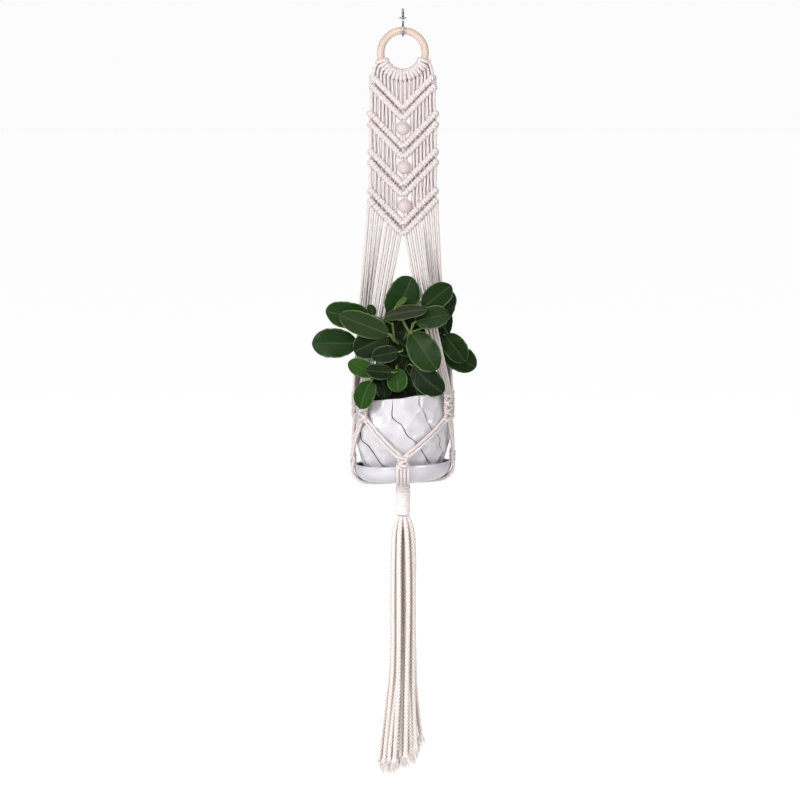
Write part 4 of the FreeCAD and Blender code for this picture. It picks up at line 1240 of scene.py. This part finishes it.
# group, stem joint, base and tip (x, y, height), width, roll about its length, green, arch
LEAVES = (
    ("left", "middle", (-62, -17, -440), (-124, -8, -440), 40, 4, MID, 3.0),
    ("left", "upper_left", (-46, -34, -400), (-105, -27, -395), 36, -6, MID, 2.0),
    ("left", "left", (-19, -46, -425), (-85, -57, -399), 32, -4, PALE, 3.5),
    ("left", "left", (-20, -40, -428), (-66, -45, -449), 38, 6, DARK, 2.5),
    ("left", "upper_left", (-40, -33, -402), (-46, -33, -386), 12, 0, MID, 0.5),
    ("top", "top", (-18, -29, -400), (12, -27, -349), 44, 0, MID, 3.0),
    ("top", "top", (-26, -42, -402), (32, -47, -391), 23, -42, GREY, 3.0),
    ("top", "top", (-10, -38, -389), (5, -39, -376), 7, 0, YOUNG, 0.5),
    ("right", "fork", (27, -34, -391), (65, -37, -360), 33, 5, MID, 2.5),
    ("right", "fork", (49, -32, -411), (64, -28, -366), 30, 6, DARK, 2.0),
    ("right", "fork", (17, -38, -409), (62, -43, -398), 31, -16, MID, 2.5),
    ("right", "middle", (57, -5, -432), (62, -12, -397), 16, 0, DARK, 1.0),
    ("right", "middle", (56, -7, -428), (84, -18, -464), 31, 6, MID, 2.5),
    ("right", "middle", (54, -1, -447), (99, -2, -474), 36, 10, MID, 2.0),
    ("front", "fork", (11, -39, -424), (45, -60, -472), 42, 6, MID, 4.0),
    ("front", "low", (13, -39, -468), (54, -51, -504), 36, 4, DARK, 2.5),
    ("front", "low", (-9, -40, -471), (-7, -51, -503), 27, 0, BRIGHT, 2.0),
    ("front", "middle", (-5, -44, -449), (-42, -52, -455), 23, 12, DARK, 2.0),
    ("low", "low", (-42, -54, -487), (-57, -66, -524), 28, 4, BRIGHT, 2.5),
    ("low", "low", (-30, -36, -485), (-24, -42, -513), 21, 0, DARK, 1.0),
    ("low", "low", (-36, -54, -476), (-74, -52, -463), 25, 18, BRIGHT, 1.5),
    ("low", "low", (-14, -52, -476), (-50, -60, -472), 22, 24, DARK, 1.5),
    ("low", "low", (19, -34, -490), (34, -40, -513), 20, 0, DARK, 1.0),
    ("top", "top", (-2, -24, -404), (-20, -22, -440), 34, 8, DARK, 1.5),
    ("front", "middle", (4, -12, -420), (46, -4, -432), 34, -8, DARK, 1.5),
    ("front", "low", (-4, -24, -452), (-34, -26, -476), 30, 6, DARK, 1.5),
    ("right", "middle", (34, -6, -418), (58, -6, -440), 26, 8, DARK, 1.0),
    ("front", "low", (8, -26, -456), (30, -28, -486), 26, -6, DARK, 1.5),
    ("top", "top", (-4, -22, -396), (20, -20, -430), 26, 4, DARK, 1.5),
    ("front", "middle", (-2, -24, -446), (8, -25, -492), 36, 4, DARK, 1.5),
    ("low", "low", (-12, -30, -476), (-46, -34, -502), 24, 8, DARK, 1.5),
    ("left", "middle", (-12, -20, -424), (-40, -18, -440), 30, 0, DARK, 1.5),
    ("front", "middle", (-16, -26, -427), (16, -26, -452), 28, 0, DARK, 1.0),
    ("low", "low", (4, -25, -474), (17, -27, -511), 25, 0, DARK, 1.0),
    ("top", "top", (4, 2, -404), (26, 34, -388), 38, 150, MID, 3.0),
    ("top", "top", (-8, 2, -408), (-28, 32, -398), 36, 170, DARK, 3.0),
    ("front", "middle", (-4, 4, -440), (-34, 34, -446), 38, 180, MID, 3.0),
    ("front", "middle", (8, 6, -436), (38, 34, -432), 38, 170, DARK, 3.0),
    ("front", "low", (2, 8, -468), (-16, 40, -484), 34, 180, MID, 2.5),
    ("front", "low", (6, 8, -466), (28, 38, -470), 32, 170, DARK, 2.5),
)


def turned_about(vector, axis, degrees):
    c, s = math.cos(math.radians(degrees)), math.sin(math.radians(degrees))
    return vector * c + np.cross(axis, vector) * s + axis * np.dot(axis, vector) * (1 - c)


def add_leaf(shape, base, tip, width, roll, green, arch, draws):
    """A blade with a folded midrib, raised veins, a wavy rim and a lighter underside."""
    base, tip = np.array(base, float), np.array(tip, float)
    along = unit(tip - base)
    across = unit(np.cross(along, FRONT))
    face = unit(np.cross(across, along))
    across, face = turned_about(across, along, roll), turned_about(face, along, roll)
    length = float(np.linalg.norm(tip - base))
    rows, columns = 64, 37
    # v runs from the base to the tip, and u from one side's rim to the other's
    v = np.linspace(0.0, 1.0, rows)[:, None]
    u = np.linspace(-1.0, 1.0, columns)[None, :]
    off = np.abs(u)
    body = np.power(np.clip(1 - np.abs(2 * v ** 1.06 - 1) ** 2.3, 0, 1), 0.56)
    point = 1 - 0.20 * np.clip((v - 0.88) / 0.12, 0, 1) ** 1.5
    ragged = 1 + 0.012 * np.sin(23 * v + 6 * draws.uniform()) + 0.010 * np.sin(41 * v)
    half = 0.5 * width * body * point * ragged + 0.15
    fold, curl = draws.uniform(0.10, 0.16), draws.uniform(-0.08, 0.10)
    veins, slant = 8.5, 0.30
    phase = (v - slant * off * half / (0.5 * width)) * veins + 0.15 * np.sign(u)
    near = np.abs(phase - np.round(phase))
    vein = np.exp(-(near / 0.075) ** 2) * np.clip(1.15 - off, 0, 1) * np.clip(off * 8, 0, 1)
    rib = np.exp(-(u * half / (0.55 + 0.5 * (1 - v))) ** 2)
    rim = np.clip((off - 0.90) / 0.08, 0, 1) * (0.35 + 0.65 * v)
    lift = arch * 4 * v * (1 - v) - arch * 0.5
    cup = fold * off ** 1.3 * half - 0.035 * width * u ** 2
    ripple = 2 * np.pi * (2.3 * v + 0.37 * np.sign(u)) + 6 * draws.uniform()
    wave = 0.028 * width * off ** 3 * np.sin(ripple)
    quilt = 0.35 * (0.5 - near) * np.clip(off * 5, 0, 1) * (1 - off ** 4)
    height = lift + cup + wave + quilt - 0.55 * rib - 0.16 * vein
    offset = u * half + curl * width * np.sin(np.pi * v)
    top = base + along * (v * length)[..., None] + across * offset[..., None] + face * height[..., None]
    thick = (0.45 + 0.55 * rib * (1 - 0.6 * v)) * (1 - 0.6 * rim)
    bottom = top - face * thick[..., None]
    tint = np.array((*green, 1.0)) * (1 + 0.10 * draws.normal())
    tint[3] = 1.0
    flat = np.ones((rows, columns))
    values = {"tint": np.broadcast_to(tint, (rows, columns, 4)), "rib": rib * flat,
              "vein": vein * flat, "rim": rim * flat}
    shape.grid(top * MM, extra=values)
    shape.grid(bottom * MM, extra=values, material=1, flip=True)
    border = [(0, c) for c in range(columns)] + [(r, columns - 1) for r in range(1, rows)]
    border += [(rows - 1, c) for c in range(columns - 2, -1, -1)]
    border += [(r, 0) for r in range(rows - 2, 0, -1)]
    r, c = np.array(border).T
    ones = np.ones((2, len(r)))
    shape.grid(np.stack([top[r, c], bottom[r, c]]) * MM, close_columns=True, flip=True,
               extra={"tint": np.broadcast_to(tint, (2, len(r), 4)), "rib": ones * 0,
                      "vein": ones * 0, "rim": ones})


def make_leaves():
    draws = np.random.default_rng(5)
    groups = {}
    for group, _, *leaf in LEAVES:
        add_leaf(groups.setdefault(group, Shape()), *leaf, draws)
    for group, shape in groups.items():
        shape.piece("foliage_" + group, [leaf_top, leaf_under], "leaf", "planted_pot",
                    ["leaves_" + group])


def make_stems():
    """The forked stem, swollen at its joints, and a petiole to each leaf."""
    shape = Shape()
    draws = np.random.default_rng(9)
    for start, end in STEM_RUNS:
        (a, age_a, thick_a), (b, age_b, thick_b) = STEM[start], STEM[end]
        a, b = np.array(a), np.array(b)
        bow = draws.normal(size=3) * 0.9
        line = spline_line([a, a + (b - a) * 0.3 + bow, a + (b - a) * 0.7 - bow, b])
        line, along = evenly(line, 0.8 * MM)
        share = along / along[-1]
        radii = thick_a + (thick_b - thick_a) * share
        radii = radii * (1 + 0.10 * np.exp(-((share - 0.5) / 0.04) ** 2) + 0.04 * np.sin(share * 40))
        add_rod(shape, line, radii, sides=14, value=age_a + (age_b - age_a) * share)
        bud = spline_line([b - (0, 0, 2.2), b, b + (0, 0, 2.2)])
        add_rod(shape, bud, thick_b * np.array((0.9, 1.35, 0.9)), sides=12, value=age_b, step=0.6)
    for _, joint, base, tip, *_ in LEAVES:
        a, b = np.array(STEM[joint][0]), np.array(base, float)
        way, reach = unit(np.array(tip, float) - b), np.linalg.norm(b - a)
        line = spline_line([a, a + (b - a) * 0.45 + (0, 0, 0.03 * reach),
                            b - way * min(6.0, 0.3 * reach), b + way * 1.6])
        line, along = evenly(line, 0.9 * MM)
        add_rod(shape, line, (1.45, 1.1, 0.95, 1.0), sides=10, value=np.linspace(0.6, 1.0, len(line)))
    shape.piece("stems_woody", [stem_bark], "stem", "planted_pot", ["plant_stems"])


# ---------------------------------------------------------------- the scene
make_camera()
cotton = cotton_finish("cotton", (0.045, 0.030, 0.036), (0.87, 0.825, 0.815), (0.44, 0.365, 0.362))
tassel_cotton = cotton_finish("cotton_tassel", (0.085, 0.052, 0.038), (0.98, 0.93, 0.915),
                              (0.56, 0.46, 0.41))
ring_wood = wood_finish("ring_wood", (0.66, 0.54, 0.475), (0.44, 0.315, 0.25), ring_grain)
bead_wood = wood_finish("bead_wood", (0.59, 0.515, 0.51), (0.485, 0.405, 0.39), bead_grain)
pot_glaze = glaze_finish("pot_glaze", (0.615, 0.595, 0.615), (0.53, 0.505, 0.545))
saucer_glaze = glaze_finish("saucer_glaze", (0.575, 0.555, 0.60), (0.49, 0.47, 0.53), painted_shadow_inside=True)
crack_black = crack_finish()
soil_dark = soil_finish()
leaf_top = leaf_finish("leaf_top", 0.36, False)
leaf_under = leaf_finish("leaf_under", 0.60, True)
stem_bark = stem_finish()
chrome = metal_finish()

for make in (make_tassel, make_hook, dress_ring, make_larks_heads, make_ring_strands, make_chevrons,
             make_gap_strands, make_beads, make_legs, make_knots, make_cradle, make_saucer_cords,
             make_gathered_cords, make_wrap, make_pot, make_cracks, make_saucer, make_soil,
             make_stems, make_leaves, make_studio):
    make()
